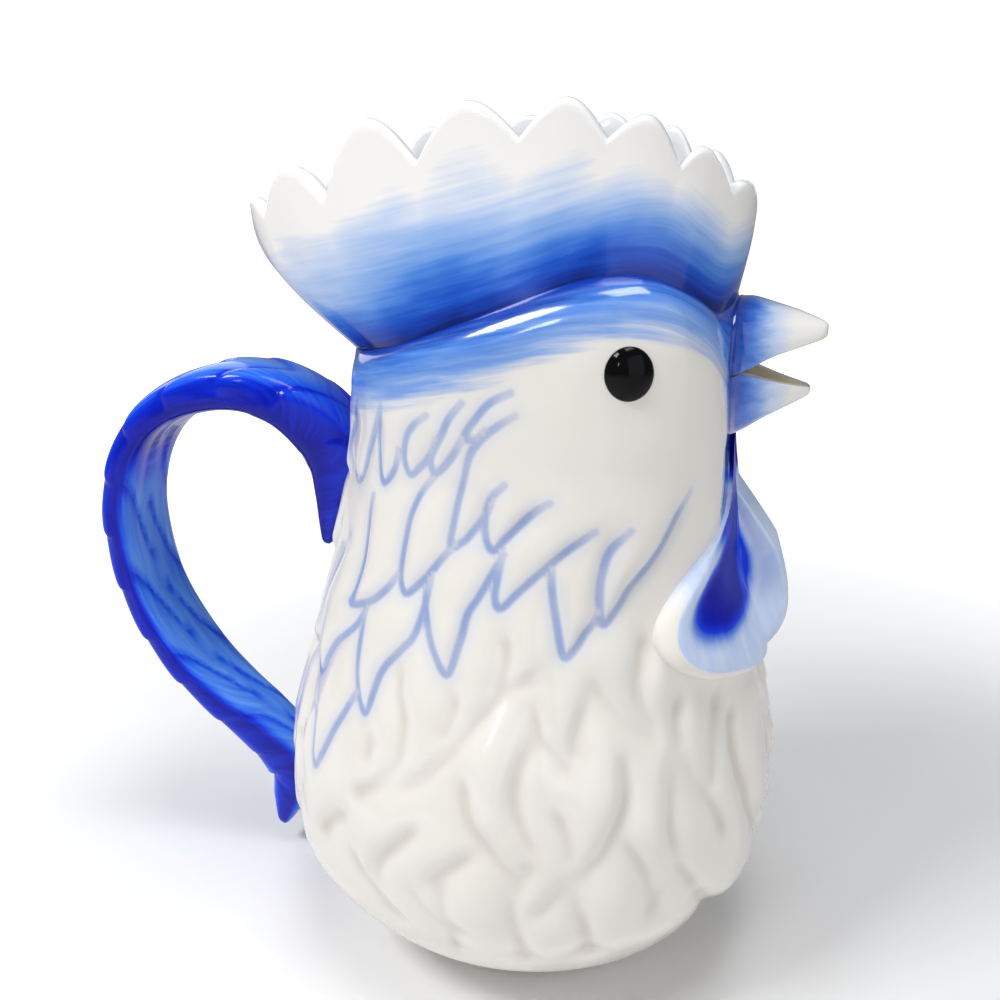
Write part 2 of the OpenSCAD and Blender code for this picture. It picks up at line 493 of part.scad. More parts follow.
function lower_section(s) = let (
        x = face_r + s[0] * beak_l,
        w = s[1] * beak_w,
        low = mouth_z + s[2] * lower_h,
        top = mouth_z + s[3] * lower_h,
        t = min(trough_t, w / 3),
        deep = min(trough_t, (top - low) / 2))
    concat(
        [for (k = [0:beak_sides / 2]) let (a = 180 * k / (beak_sides / 2))
            [x, w * cos(a), lerp(top, low, pow(sin(a), 0.8))]],
        [for (k = [0:beak_sides / 2]) let (a = 180 - 180 * k / (beak_sides / 2))
            [x, (w - t) * cos(a), lerp(top, low + deep, pow(sin(a), 0.8))]]);

module upper_beak() {
    color(sky) difference() {
        loft([for (s = upper_shares) upper_section(s)], fan(beak_sides));
        wall_block(beak_columns, beak_rows);
    }
}

module lower_beak() {
    color(sky) difference() {
        loft([for (s = lower_shares) lower_section(s)], strip(beak_sides + 2));
        wall_block(beak_columns, beak_rows);
    }
}

// Wattle: a hollowed drop of clay that faces half sideways and grows out of the neck
function wattle_seat_r(z) = wall_r(wattle_seat_angle, z);
function wattle_step(z) = cos(wattle_angle - wattle_seat_angle)
    * (wattle_seat_r(z) - wattle_seat_r(wattle_mid_z));
function tear(a) = let (widest = atan(sqrt(1 + tear_power)))
    [sin(a) * pow(abs(sin(a / 2)), tear_power) / sin(2 * widest) / pow(sin(widest), tear_power), cos(a)];
function wattle_pt(side, ring, a) = let (
        t = tear(a),
        b = t[1] > 0 ? t[1] * lerp(1, ring[0], 1 / 2) : t[1] * ring[0],
        shift = b > 0 ? pow(b, lean_power) * wattle_top_shift : b * b * wattle_low_shift,
        n = ((ring[1] - 1 / 2) * wattle_t - ring[2] * wattle_dish) * (1 - max(0, b) / 2),
        across = ring[0] * t[0] * wattle_w / 2 + shift[0],
        out = n + shift[1],
        c = cos(wattle_angle),
        s = sin(wattle_angle),
        x = wattle_x + across * s + out * c,
        y = max(wattle_gap / 2, wattle_y - across * c + out * s),
        z = wattle_mid_z + b * wattle_h / 2,
        turn = atan2(y, x),
        least = ring[3] > 0 ? wall_r(turn, z) + relief(turn, z) + ring[3] * wattle_floor : 0,
        grow = max(1, least / norm([x, y])))
    [grow * x, side * grow * y, z];
module wattle(side) {
    n = wattle_sides;
    m = len(wattle_ring_shares);
    rings = [for (r = wattle_ring_shares) for (i = [0:n - 1]) wattle_pt(side, r, 360 * i / n)];
    hollow = wattle_pt(side, [0, 1, 1, 1], 90);
    back = wattle_pt(side, [0, 0, 0, 0], 90);
    function v(i, j) = j * n + i % n;
    function turned(f) = side > 0 ? f : [for (k = [len(f) - 1:-1:0]) f[k]];
    faces = concat(
        [for (j = [0:m - 2]) for (i = [0:n - 1]) each quad(v(i, j), v(i + 1, j), v(i + 1, j + 1), v(i, j + 1))],
        [for (i = [0:n - 1]) [m * n, v(i + 1, 0), v(i, 0)]],
        [for (i = [0:n - 1]) [m * n + 1, v(i, m - 1), v(i + 1, m - 1)]]);
    polyhedron(points = concat(rings, [hollow, back]), faces = [for (f = faces) turned(f)], convexity = 6);
}

module wattle_right() {
    color(cobalt) difference() {
        wattle(-1);
        wall_block(mirrored(wattle_columns), wattle_rows);
    }
}

module wattle_left() {
    color(cobalt) difference() {
        wattle(1);
        wall_block(wattle_columns, wattle_rows);
    }
}

// Places a child on the cheek, with its Z axis along the wall's normal
module on_cheek(side) {
    step = 1;
    p = ring_pt(wall_r(eye_angle, eye_z) + relief(eye_angle, eye_z), eye_angle, eye_z);
    q = ring_pt(wall_r(eye_angle + step, eye_z), eye_angle + step, eye_z);
    b = ring_pt(wall_r(eye_angle - step, eye_z), eye_angle - step, eye_z);
    facing = atan2(b[0] - q[0], q[1] - b[1]);
    // facing is the turn of the normal away from the beak
    translate([p[0], side * p[1], p[2]])
        rotate([0, 90, side * facing])
            children();
}

module eye(side) {
    // A spherical cap whose base circle has the eye's diameter, on a short stub
    ball_r = (eye_d * eye_d / 4 + eye_rise * eye_rise) / (2 * eye_rise);
    half_turn = asin(eye_d / 2 / ball_r);
    cap = [for (k = [0:eye_rings]) let (a = half_turn * (1 - k / eye_rings))
        [ball_r * sin(a), ball_r * cos(a) + eye_rise - ball_r]];
    color(gloss_black) difference() {
        on_cheek(side)
            rotate_extrude($fn = eye_fn)
                polygon(concat([[0, -eye_rise], [eye_d / 2, -eye_rise]], cap));
        wall_block(side > 0 ? eye_columns : mirrored(eye_columns), eye_rows);
    }
}

module eye_right() {
    eye(-1);
}

module eye_left() {
    eye(1);
}

// Centre line of the plume in the X-Z plane, with its thickness and width
handle_top_z = crease_z - handle_drop;
function handle_row(k) = let (
        s = handle_shares[k],
        z = lerp(handle_low_z, handle_top_z, s[2]),
        back = lerp(wall_r(180, handle_low_z), wall_r(180, handle_top_z), s[2]))
    [-back - s[0] * handle_reach - s[1] * handle_t, z, s[3] * handle_t, s[4] * handle_w];
function along(rows_, u) = let (
        last = len(rows_) - 1,
        k = min(last - 1, floor(u)),
        t = u - k,
        a = rows_[max(0, k - 1)],
        b = rows_[k],
        c = rows_[k + 1],
        d = rows_[min(last, k + 2)])
    b + (c - a) / 2 * t + (a - 5 / 2 * b + 2 * c - d / 2) * t * t + (3 / 2 * (b - c) + (d - a) / 2) * t * t * t;

module handle() {
    table = [for (k = [0:len(handle_shares) - 1]) handle_row(k)];
    count = (len(table) - 1) * plume_steps;
    line = [for (k = [0:count]) along(table, k / plume_steps)];
    n = plume_sides;
    sections = [for (k = [0:count]) let (
            a = line[max(0, k - 1)],
            b = line[min(count, k + 1)],
            d = unit([b[0] - a[0], b[1] - a[1]]),
            p = line[k],
            cut = leaf_count * k / count,
            grow = leaf_step * (cut - floor(cut)) * clamp01(p[3] / handle_w))
        [for (i = [0:n - 1]) let (
                w = 360 * (i + 1 / 2) / n,
                cu = sign(cos(w)) * pow(abs(cos(w)), 2 / plume_power) * p[2] / 2,
                cv = sign(sin(w)) * pow(abs(sin(w)), 2 / plume_power) * (p[3] / 2 + grow))
            [p[0] - d[1] * cu, cv, p[1] + d[0] * cu]]];
    color(deep_cobalt) difference() {
        loft(sections, fan(n));
        wall_block(handle_columns, handle_rows);
    }
}

module foot() {
    color(bisque) cylinder(r = foot_r - foot_inset, h = foot_h, $fn = round_fn);
}

body_shell();
crown();
upper_beak();
lower_beak();
wattle_right();
wattle_left();
eye_right();
eye_left();
handle();
foot();
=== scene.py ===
"""Looks of a glazed ceramic pitcher in the form of a hen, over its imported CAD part.

Every piece repeats the part's own formulas on a finer grid: the scalloped crown, the
beak halves, the wattles, the eyes and the plume that is the handle. The body has the
part's wall. Its feathers are the part's own at the back and on the breast, and on the
flanks they lie between creases that are drawn along lines of the photograph.
Sizes are in millimetres until a mesh is made, and turns in degrees from the beak.
"""

import math

import bpy
import numpy as np
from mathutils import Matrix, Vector


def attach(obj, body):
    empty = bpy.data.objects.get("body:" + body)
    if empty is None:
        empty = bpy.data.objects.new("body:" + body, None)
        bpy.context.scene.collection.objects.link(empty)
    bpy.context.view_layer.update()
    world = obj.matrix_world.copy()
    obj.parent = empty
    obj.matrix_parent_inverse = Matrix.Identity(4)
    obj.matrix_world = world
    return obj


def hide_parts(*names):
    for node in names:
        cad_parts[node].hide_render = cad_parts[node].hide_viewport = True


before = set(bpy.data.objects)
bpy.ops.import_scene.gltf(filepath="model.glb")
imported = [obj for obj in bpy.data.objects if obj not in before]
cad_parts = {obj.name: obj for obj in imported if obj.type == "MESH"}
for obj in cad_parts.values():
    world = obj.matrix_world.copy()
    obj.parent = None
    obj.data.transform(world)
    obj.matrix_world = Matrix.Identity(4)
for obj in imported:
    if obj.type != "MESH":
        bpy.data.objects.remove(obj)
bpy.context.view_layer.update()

MM = 0.001

# ---- the camera
CAMERA_AT = (59.2, -256.3, 212.0)
CAMERA_TURN = (72.0, 0.0, 15.03)
LENS = 36.0
SENSOR = 36.0
PHOTO_SIDE = 1000.0

# Lamps, in metres and watts: name, place, width and height, power. All look at MIDDLE
MIDDLE = (0.0, 0.0, 0.12)
LAMPS = [
    ("key", (-0.5, -0.42, 0.85), (0.3, 0.22), 5.5), ("fill", (0.8, -0.75, 0.5), (1.3, 1.3), 3.8),
    ("top", (0.1, -0.12, 0.95), (0.4, 0.3), 3.0), ("rim", (-0.6, 0.5, 0.5), (0.4, 0.5), 1.0),
    ("glint", (-0.3, -0.75, 0.5), (0.05, 0.14), 0.35)]

# ---- sizes of the part, in mm
FOOT_R, BELLY_R, BELLY_Z, NECK_Z = 38.0, 68.2, 55.0, 150.0
NAPE_R, FACE_R, CHEEK_R = 48.6, 51.5, 44.2
WALL, FLOOR_T, FOOT_H = 5.0, 6.0, 2.0
PLUME_H, CHEEK_RISE = 100.0, 1.6
# The part's feathers: how far they sway, and between which heights the sway starts
SWAY, SWAY_FROM, SWAY_FULL = 4.5, 1.05, 0.85
# Their rise, rise at the root, length share of its start, and length share of the widest place
CARVED_RISE, CARVED_ROOT, CARVED_FADE, PLUME_WIDEST = 2.7, 0.3, 0.3, 0.45
# The groove between two of them: its depth, its width and start as shares of a feather's
# height, and how deep all of them sit in the wall
GROOVE, GROOVE_WIDTH, GROOVE_START, PLUME_SINK = 0.7, 0.12, 0.3, 0.4
# Feathers drawn from the photo's lines: level of their backs on belly and neck, depth of
# the creases and of the neck's lines, reach on the upper and on the lower feather
BELLY_LEVEL, NECK_LEVEL, CREASE_DEEP, LINE_DEEP = 2.3, 1.7, 4.2, 2.8
NEAR_REACH, FAR_REACH = 1.9, 6.0
# How much flatter the throat's feathers and the nape's lines are
THROAT_FLAT, NAPE_FLAT = 0.85, 0.6
# Zones in which something grows from nothing to its full size: heights in mm, turns in degrees
FOOT_ZONE, NECK_ZONE, NAPE_ZONE, TOP_ZONE = (2, 18), (100, 140), (140, 160), (156, 176)
THROAT_ZONE, THROAT_TURNS = (100, 120), (12, 30)
BREAST_ZONE, BREAST_TURNS = (94, 104), (5, 13)
BACK_ZONE, BACK_TURNS, BACK_BLEND = (80, 100), (132, 148), 14
# Steps along the photo's lines, and lengths over which paint and creases fade at their ends
INK_STEP, FOLD_STEP, INK_FADE, END_FADE, TIP_FADE = 0.6, 0.9, 7.0, 9.0, 3.0
# The cut along a painted line: depth, half width, and the most that a distance is measured to
LINE_CUT, LINE_HALF, PAINT_REACH = 0.2, 1.1, 12.0
CREASE_Z, CREASE_RISE = 168.0, 23.0
CREASE_BACK, CREASE_FRONT, CREASE_SIDE = 48.2, 51.0, 36.5
# The spout's window behind the mouth: half its turn, and its ends under the mouth's height
WINDOW_TURN, WINDOW_LOW, WINDOW_TOP = 7.5, 10, 0.5
# Blue wash under the crown: how far it reaches down at some turns. Collar round the beak
WASH_TURNS, WASH_REACH = [0, 25, 40, 60, 90, 125, 150, 180], [18, 24, 22, 21, 25, 24, 22, 22]
COLLAR_W, COLLAR_H = 18.5, 21.5
# Blue stripe from the beak to the wattle: turn, lean, half width and soft edge in degrees, and
# the heights between which it fades out below
STRIPE_TURN, STRIPE_LEAN, STRIPE_HALF, STRIPE_EDGE, STRIPE_ZONE = 16, 0.16, 2, 5, (104, 118)
SHOULDER_H, CROWN_H = 9.0, 60.0
RIM_L, RIM_W, RIM_BACK, LIP_T = 66.5, 31.0, 12.5, 4.4
BEAK_L, BEAK_W, MOUTH_Z, UPPER_H, LOWER_H, TROUGH_T = 22.0, 11.5, 166.52, 18.0, 17.0, 4.0
WATTLE_H, WATTLE_W, WATTLE_T, WATTLE_DISH = 56.5, 40.0, 11.0, 5.5
WATTLE_FLOOR, WATTLE_GAP, WATTLE_SEAT, WATTLE_TURN = 1.2, 0.6, 14.0, 40.0
TEAR_POWER, LEAN_POWER = 2.1, 1.1
EYE_D, EYE_RISE, EYE_TURN, EYE_OVAL = 11.4, 2.6, 54.5, 1.06
CHEEK_TURN, CHEEK_Z, CHEEK_SPREAD, CHEEK_REACH = 50.0, 160.0, 34.0, 30.0
HANDLE_REACH, HANDLE_LOW_Z, HANDLE_TOP_Z = 72.0, 35.0, 145.0
HANDLE_T, HANDLE_W = 10.0, 26.0
ROUND_POWER, HEAD_POWER, CREASE_POWER = 2.0, 3.3, 2.6

# The wall's profile from the foot up to the belly and on up to the neck, the crease's height
# at some turns, and the crown's rim: valleys and points in turn, and how egg-shaped it is
RISE = [[0, 0], [0.11, 0.2], [0.33, 0.59], [0.64, 0.945], [1, 1], [1.36, 0.945]]
FALL = [[-0.21, 0.845], [0, 1], [0.21, 0.845], [0.42, 0.565], [0.63, 0.31], [0.84, 0.11], [1, 0],
        [1.16, 0.11]]
CREASE = [[0, 0.74], [12, 0.64], [23, 0.62], [34, 0.83], [45, 1], [56, 1], [70, 0.89],
          [90, 0.67], [110, 0.45], [134, 0.2], [155, 0.065], [180, 0]]
RIM_TURNS = [0, 14, 23, 34, 41, 50, 58.5, 67, 76.5, 87, 98, 110, 123, 137, 150, 167, 180]
RIM_HEIGHTS = [0.62, 0.715, 0.68, 0.835, 0.77, 0.94, 0.86, 1, 0.865, 0.995, 0.785, 0.945,
               0.64, 0.77, 0.575, 0.64, 0.515]
RIM_EGG = 0.32

# The part's feathers that show at the back and on the breast: turn and height of the root,
# turn and height of the tip, half width in degrees, and bow. Heights are shares of PLUME_H.
PLUMES = [
    [171, 1.62, 172, 1.36, 8, 0], [156, 1.62, 158, 1.37, 8, 0], [146, 1.61, 150, 1.38, 7, 0],
    [142, 1.4, 147, 1.12, 9, 0], [161, 1.4, 164, 1.13, 10, 0], [177, 1.4, 178, 1.08, 9, 0],
    [134, 1.26, 140, 0.88, 9, 0], [152, 1.22, 155, 0.9, 10, 0], [170, 1.2, 171, 0.88, 10, 0],
    [131, 0.99, 133, 0.62, 9, 1], [14, 1.06, 14, 0.8, 9, 0], [1, 1.04, 1, 0.79, 8, 0],
    [5, 0.92, 6, 0.6, 7, -1], [19, 0.91, 20, 0.6, 7, 1], [133.5, 0.95, 133.5, 0.63, 7, 1],
    [149, 0.94, 150, 0.63, 7, 1], [161, 0.93, 162, 0.61, 7, -1], [175.5, 0.92, 175.5, 0.62, 7, 1],
    [0, 0.8, 0, 0.48, 7, 0], [12.5, 0.78, 11.5, 0.48, 7, -1], [124, 0.79, 125, 0.46, 7, 0],
    [136.5, 0.81, 135.5, 0.46, 7, 0], [149, 0.82, 149, 0.46, 7, 0],
    [162.5, 0.8, 163.5, 0.48, 7, 0], [175.5, 0.81, 174.5, 0.46, 7, -1], [4, 0.65, 3, 0.34, 7, -1],
    [17.5, 0.68, 16.5, 0.35, 7, 0], [130, 0.65, 131, 0.35, 7, 0],
    [143.5, 0.66, 143.5, 0.33, 7, -1], [155, 0.67, 155, 0.36, 7, 0], [166, 0.65, 165, 0.35, 7, 1],
    [180, 0.67, 181, 0.34, 7, 1], [0, 0.52, 0, 0.24, 7, -1], [13, 0.55, 13, 0.24, 7, 1],
    [22.5, 0.53, 24.5, 0.24, 7, -1], [123, 0.54, 125, 0.22, 7, 0], [138, 0.53, 140, 0.22, 7, 1],
    [147.5, 0.54, 149.5, 0.23, 7, 0], [160.5, 0.54, 162.5, 0.24, 7, -1],
    [175.5, 0.54, 176.5, 0.25, 7, 1], [3.5, 0.39, 2.5, 0.14, 7, -1],
    [16.5, 0.42, 16.5, 0.14, 7, 1], [129, 0.42, 128, 0.14, 7, -1],
    [141.5, 0.41, 142.5, 0.13, 7, 1], [153.5, 0.4, 154.5, 0.16, 7, -1],
    [168.5, 0.38, 167.5, 0.14, 7, 0], [178.5, 0.38, 179.5, 0.16, 7, 1]]

# Brush lines on the neck, in pixels of the photograph, x and y in turn: each runs down one
# edge of a feather, round its tip and up the other edge. The far flank mirrors them.
BRUSH_LINES = [
    [352, 466, 353, 440, 358, 415, 362, 400],
    [352, 466, 358, 480, 368, 450, 377, 425, 384, 405],
    [384, 405, 379, 440, 378, 465, 381, 483, 392, 470, 398, 450],
    [428, 415, 415, 425, 406, 440, 403, 460, 408, 475, 420, 466, 430, 455, 436, 440],
    [462, 403, 450, 418, 441, 437, 430, 458, 432, 474, 444, 466, 455, 452, 463, 438],
    [511, 393, 490, 403, 475, 420, 465, 437, 476, 440, 486, 430],
    [516, 415, 490, 432, 470, 455, 460, 490, 453, 520, 449, 547, 460, 544, 470, 535, 485, 515,
     492, 500],
    [432, 478, 418, 495, 408, 520, 402, 555, 400, 580, 405, 594, 425, 578, 440, 560, 455, 545],
    [372, 495, 368, 520, 364, 560, 356, 588, 350, 603, 368, 602, 385, 590, 397, 575],
    [352, 535, 337, 570, 331, 590, 325, 620, 321, 650, 321, 672, 335, 645, 355, 625, 367, 603],
    [505, 485, 490, 500, 484, 520, 485, 540, 492, 552, 505, 540, 535, 512, 550, 503],
    [502, 555, 497, 578, 494, 600, 500, 610, 520, 592, 560, 558, 595, 532],
    [430, 575, 424, 600, 427, 630, 434, 655, 446, 676, 460, 640, 467, 615, 480, 595, 503, 555],
    [366, 605, 359, 640, 357, 680, 363, 714, 380, 672, 400, 650, 415, 632, 430, 580],
    [319, 700, 316, 730, 316, 765, 338, 722, 357, 690],
    [552, 565, 552, 590, 556, 620, 564, 658, 577, 648, 585, 635, 593, 625, 600, 612],
    [630, 530, 612, 550, 604, 570, 600, 595, 604, 626, 620, 605, 630, 588, 660, 550, 687, 490],
]

# Deep creases between the belly's feathers, in the same way. Walking along a line, the
# feather on the left lies over the one on the right, as with the brush lines.
CREASES = [
    [392, 787, 405, 785, 420, 779, 435, 766, 448, 756, 460, 740, 472, 727, 485, 714, 498, 700,
     512, 689, 530, 680, 548, 664],
    [350, 792, 364, 789, 378, 782, 388, 769, 397, 756, 404, 742],
    [322, 830, 328, 820, 340, 814, 352, 806],
    [376, 888, 373, 872, 379, 858, 391, 849, 401, 841, 411, 829, 418, 812],
    [423, 890, 433, 880, 445, 873, 456, 867, 466, 860, 475, 849, 480, 838],
    [460, 762, 463, 785, 466, 806, 473, 830, 488, 849, 504, 869, 518, 882, 526, 898],
    [522, 884, 534, 866, 541, 852],
    [540, 690, 537, 712, 541, 738, 551, 751, 562, 765, 571, 780],
    [596, 664, 598, 684, 606, 700, 618, 714, 631, 728, 646, 738, 662, 743],
    [686, 745, 692, 765, 700, 782, 710, 796, 720, 811, 727, 832],
    [618, 830, 632, 850, 645, 866, 652, 882, 655, 900, 657, 915],
    [674, 850, 684, 868, 695, 881, 704, 894, 708, 908],
    [578, 884, 590, 870, 601, 858, 614, 834, 623, 812, 627, 790, 624, 764, 618, 742],
    [578, 880, 577, 896, 581, 912, 588, 930, 592, 952],
    [528, 920, 543, 911, 556, 899, 567, 886, 577, 874],
    [551, 795, 558, 815, 566, 833, 572, 850, 577, 872],
    [533, 864, 525, 845, 516, 824, 512, 803, 514, 782, 522, 762, 532, 742, 540, 722],
    [676, 858, 671, 835, 672, 805, 675, 776, 674, 752],
    [734, 690, 733, 730, 738, 764, 746, 790, 753, 815, 757, 838],
    [764, 690, 768, 730, 767, 770, 761, 806],
    [350, 835, 357, 864, 374, 890, 388, 907, 405, 920],
    [407, 872, 411, 890, 418, 905, 434, 921, 450, 929, 466, 935],
    [446, 872, 441, 892, 442, 912, 450, 930, 459, 949],
    [524, 890, 516, 904, 514, 920, 520, 938, 529, 958],
    [446, 677, 455, 692, 456, 710, 449, 730, 440, 750],
    [404, 648, 399, 690, 403, 728, 398, 768],
    [364, 712, 369, 742, 366, 766],
    [504, 618, 509, 648, 506, 678, 497, 702],
    [572, 768, 577, 738, 584, 712, 592, 686],
    [652, 618, 646, 650, 642, 690, 651, 716, 664, 736],
    [684, 680, 681, 728, 688, 750],
    [721, 676, 718, 728, 716, 790],
    [655, 905, 664, 890, 668, 870],
]

# Centre line of the plume, as in the part: how far out as shares of its reach and thickness,
# then shares of its height, thickness and width
HANDLE_ROWS = [
    [0, 0.78, 0.662, 0.3, 0.14], [0, 0.74, 0.728, 0.72, 0.28], [0, 0.68, 0.808, 1.24, 0.4],
    [0, 0.68, 0.89, 1.8, 0.51], [0, 1, 0.966, 2.1, 0.63], [0.24, 0, 1.028, 1.9, 0.79],
    [0.35, 0, 1.066, 1.64, 0.92], [0.49, 0, 1.086, 1.52, 0.98], [0.645, 0, 1.078, 1.42, 1],
    [0.8, 0, 1.04, 1.28, 1], [0.93, 0, 0.965, 1.15, 1], [1.002, 0, 0.862, 1.1, 1],
    [1.019, 0, 0.745, 1.1, 1], [0.99, 0, 0.627, 1.08, 1], [0.922, 0, 0.5, 1.03, 1],
    [0.815, 0, 0.382, 1.04, 1], [0.6625, 0, 0.264, 1.1, 0.96], [0.485, 0, 0.164, 1.3, 0.84],
    [0.28, 0, 0.062, 1.65, 0.66], [0, 1, -0.045, 2, 0.47], [0, 1.15, -0.15, 1.15, 0.38],
    [0, 1.32, -0.255, 0.35, 0.22]]
HANDLE_STEPS, HANDLE_SIDES, HANDLE_POWER, HANDLE_TIP, HANDLE_SKIN = 20, 96, 3.3, 8, 0.1
# Its leaves: length on the outer and on the inner run, step of an edge at a leaf, depth of the
# cut between two leaves, and depth of the hollow along the inner run
LEAF_PITCH, LEAF_RUN, LEAF_STEP, LEAF_CUT, LEAF_HOLLOW = 17.0, 30.0, 0.84, 0.6, 0.9

# How far before its hindmost place the inner run lights up, and how far from its top the outer
INNER_ZONE, OUTER_ZONE = (-34, -8), (18, 58)

# Beak stations: reach share, width share, top and lower edge as height shares
UPPER = [[-0.25, 1.6, 0.82, 0.03], [-0.02, 1.5, 0.95, 0.03], [0.06, 1.22, 0.96, 0.03],
         [0.18, 1.02, 0.96, 0.08], [0.4, 0.76, 0.89, 0.22], [0.65, 0.5, 0.8, 0.34],
         [0.86, 0.3, 0.7, 0.45], [0.95, 0.18, 0.65, 0.51], [0.98, 0.05, 0.6, 0.56]]
LOWER = [[-0.25, 1.6, -1.1, 0], [-0.02, 1.5, -1.06, 0], [0.06, 1.2, -1, 0],
         [0.17, 1, -0.92, -0.03], [0.35, 0.8, -0.76, -0.1], [0.56, 0.56, -0.6, -0.17],
         [0.74, 0.36, -0.46, -0.22], [0.82, 0.22, -0.39, -0.24], [0.85, 0.07, -0.33, -0.27]]

# Low ridge on each side of the beak's root: rise, middle and length as shares of the reach,
# turn and width in degrees
RIDGE_RISE, RIDGE_AT, RIDGE_RUN, RIDGE_TURN, RIDGE_WIDE = 0.9, 0.2, 0.15, 38, 13

# Wattle rings: shares of the outline, of the thickness, of the hollow's depth and of
# the floor kept off the body's skin
WATTLE_RINGS = [[0.03, 1, 1, 1], [0.3, 1, 1, 1], [0.55, 1, 0.8, 1.1], [0.7, 1, 0.3, 1.8],
                [0.8, 1, 0, 2.9], [0.9, 0.94, 0, 3.2], [0.97, 0.72, 0, 2.5], [1, 0.4, 0, 1.4],
                [0.99, 0.1, 0, 0], [0.9, 0, 0, 0]]
# The cheek side of a wattle spreads over the skin by this share of its width
WATTLE_SPREAD = 1.5
# Painted highlight on the wattle's fold, as a pale streak: start and run across and down, and half
# width
HIGHLIGHT_AT, HIGHLIGHT_RUN, HIGHLIGHT_HALF = (1.0, -1.2), (5.6, -14.0), 0.9

# Grids of the fine meshes
BODY_COLUMNS, BODY_ROWS, SHOULDER_ROWS, INNER_STEP, FLOOR_ROW = 384, 184, 10, 6, 10
CROWN_COLUMNS, CROWN_ROWS, CROWN_INNER_ROWS, LIP_ROWS = 384, 40, 14, 6
BEAK_SIDES, BEAK_STEPS, WATTLE_SIDES, WATTLE_STEPS, EYE_SIDES, EYE_ROWS = 40, 6, 120, 6, 48, 12
# The last two set the painted shade in the grooves: the blur it is taken against, and the depth
# that gives it in full
RELIEF_BLUR, GROOVE_SHADE_BLUR, GROOVE_SHADE_DEPTH = 2, 14, 0.8
# Points that are compared with a line at once, to spare memory
CHUNK = 20000


# ---- small functions
def lerp(a, b, t):
    return a + (b - a) * t


def smooth(t):
    u = np.clip(t, 0, 1)
    return u * u * (3 - 2 * u)


def rise(x, low, high):
    """0 up to low, 1 from high on, and smooth between them."""
    return smooth((x - low) / (high - low))


def curve(table, x):
    """Smooth curve through a table's rows, as in the part."""
    t = np.asarray(table, float)
    xs, ys = t[:, 0], t[:, 1]
    last = len(t) - 1
    lo, hi = np.maximum(np.arange(last + 1) - 1, 0), np.minimum(np.arange(last + 1) + 1, last)
    slopes = (ys[hi] - ys[lo]) / (xs[hi] - xs[lo])
    k = np.clip(np.searchsorted(xs, x, side="right") - 1, 0, last - 1)
    w = xs[k + 1] - xs[k]
    u = np.clip((x - xs[k]) / w, 0, 1)
    return (ys[k] * (1 + 2 * u) * (1 - u) ** 2 + slopes[k] * w * u * (1 - u) ** 2
            + ys[k + 1] * u * u * (3 - 2 * u) - slopes[k + 1] * w * u * u * (1 - u))


def along(rows, u):
    """Catmull-Rom curve through whole rows, at u rows from the first."""
    rows = np.asarray(rows, float)
    last = len(rows) - 1
    k = min(last - 1, int(u))
    t = u - k
    a, b, c, d = rows[max(0, k - 1)], rows[k], rows[k + 1], rows[min(last, k + 2)]
    return (b + (c - a) / 2 * t + (a - 2.5 * b + 2 * c - d / 2) * t ** 2
            + (1.5 * (b - c) + (d - a) / 2) * t ** 3)


def finer(rows, steps):
    """A table of rows, with a number of steps between two of them."""
    count = (len(rows) - 1) * steps
    return [along(rows, k / steps) for k in range(count + 1)]


def turned(turn):
    """Cosine and sine of a turn in degrees."""
    a = np.radians(turn)
    return np.cos(a), np.sin(a)


def signed_power(v, power):
    """A power that keeps the sign, for squared ovals."""
    return np.sign(v) * np.abs(v) ** power


# ---- the body's wall
def oval_r(a, b, turn, power):
    c, s = turned(turn)
    return (np.abs(c / a) ** power + np.abs(s / b) ** power) ** (-1 / power)


def side_r(z, top_r):
    """Radius of the wall's profile that has a given radius at the neck's top."""
    low = lerp(FOOT_R, BELLY_R, curve(RISE, (z - FOOT_H) / (BELLY_Z - FOOT_H)))
    high = lerp(top_r, BELLY_R, curve(FALL, np.minimum(1, (z - BELLY_Z) / (NECK_Z - BELLY_Z))))
    return np.where(z < BELLY_Z, low, high)


def wall_r(turn, z):
    """Radius of the bare wall: round at the belly, squarer at the front of the head."""
    front = turned(turn)[0] > 0
    up_neck = rise(z, NECK_Z - 0.4 * PLUME_H, NECK_Z + 0.1 * PLUME_H)
    square = lerp(ROUND_POWER, HEAD_POWER, up_neck)
    power = np.where(front, square, ROUND_POWER)
    return oval_r(side_r(z, np.where(front, FACE_R, NAPE_R)), side_r(z, CHEEK_R), turn, power)


def leaf(s):
    """Width of a feather at a share of its length, as a share of its widest."""
    low = 1 - PLUME_WIDEST * np.clip((PLUME_WIDEST - s) / PLUME_WIDEST, 0, 1) ** 2
    high = 1 - np.clip((s - PLUME_WIDEST) / (1 - PLUME_WIDEST), 0, 1) ** 1.8
    return np.where(s < PLUME_WIDEST, low, high)


def plume_relief(turn, z):
    """Feathers as rounded domes that swing a little, with a groove where two of them meet."""
    best, second = np.zeros_like(z), np.zeros_like(z)
    for f in PLUMES:
        s = (f[1] * PLUME_H - z) / ((f[1] - f[3]) * PLUME_H)
        sway = SWAY * np.clip((SWAY_FROM - f[1]) / (SWAY_FROM - SWAY_FULL), 0, 1)
        middle = lerp(f[0], f[2], s) + 4 * f[5] * s * (1 - s) + sway * np.sin(2 * np.pi * s)
        inside = (s > 0) & (s < 1)
        q = np.where(inside, np.abs(turn - middle) / (f[4] * np.maximum(leaf(s), 1e-6)), 1)
        height = lerp(CARVED_ROOT, 1, s) * smooth(s / CARVED_FADE) * np.clip(1 - q * q, 0, 1)
        second = np.maximum(second, np.minimum(best, height))
        best = np.maximum(best, height)
    groove = np.exp(-(best - second) / GROOVE_WIDTH) * np.clip(second / GROOVE_START, 0, 1)
    return CARVED_RISE * best - GROOVE * groove - PLUME_SINK


def cheek_relief(turn, z):
    """The smooth round cheek, which no feather crosses."""
    q = np.hypot((turn - CHEEK_TURN) / CHEEK_SPREAD, (z - CHEEK_Z) / CHEEK_REACH)
    return CHEEK_RISE * smooth((1 - q) / 0.5)


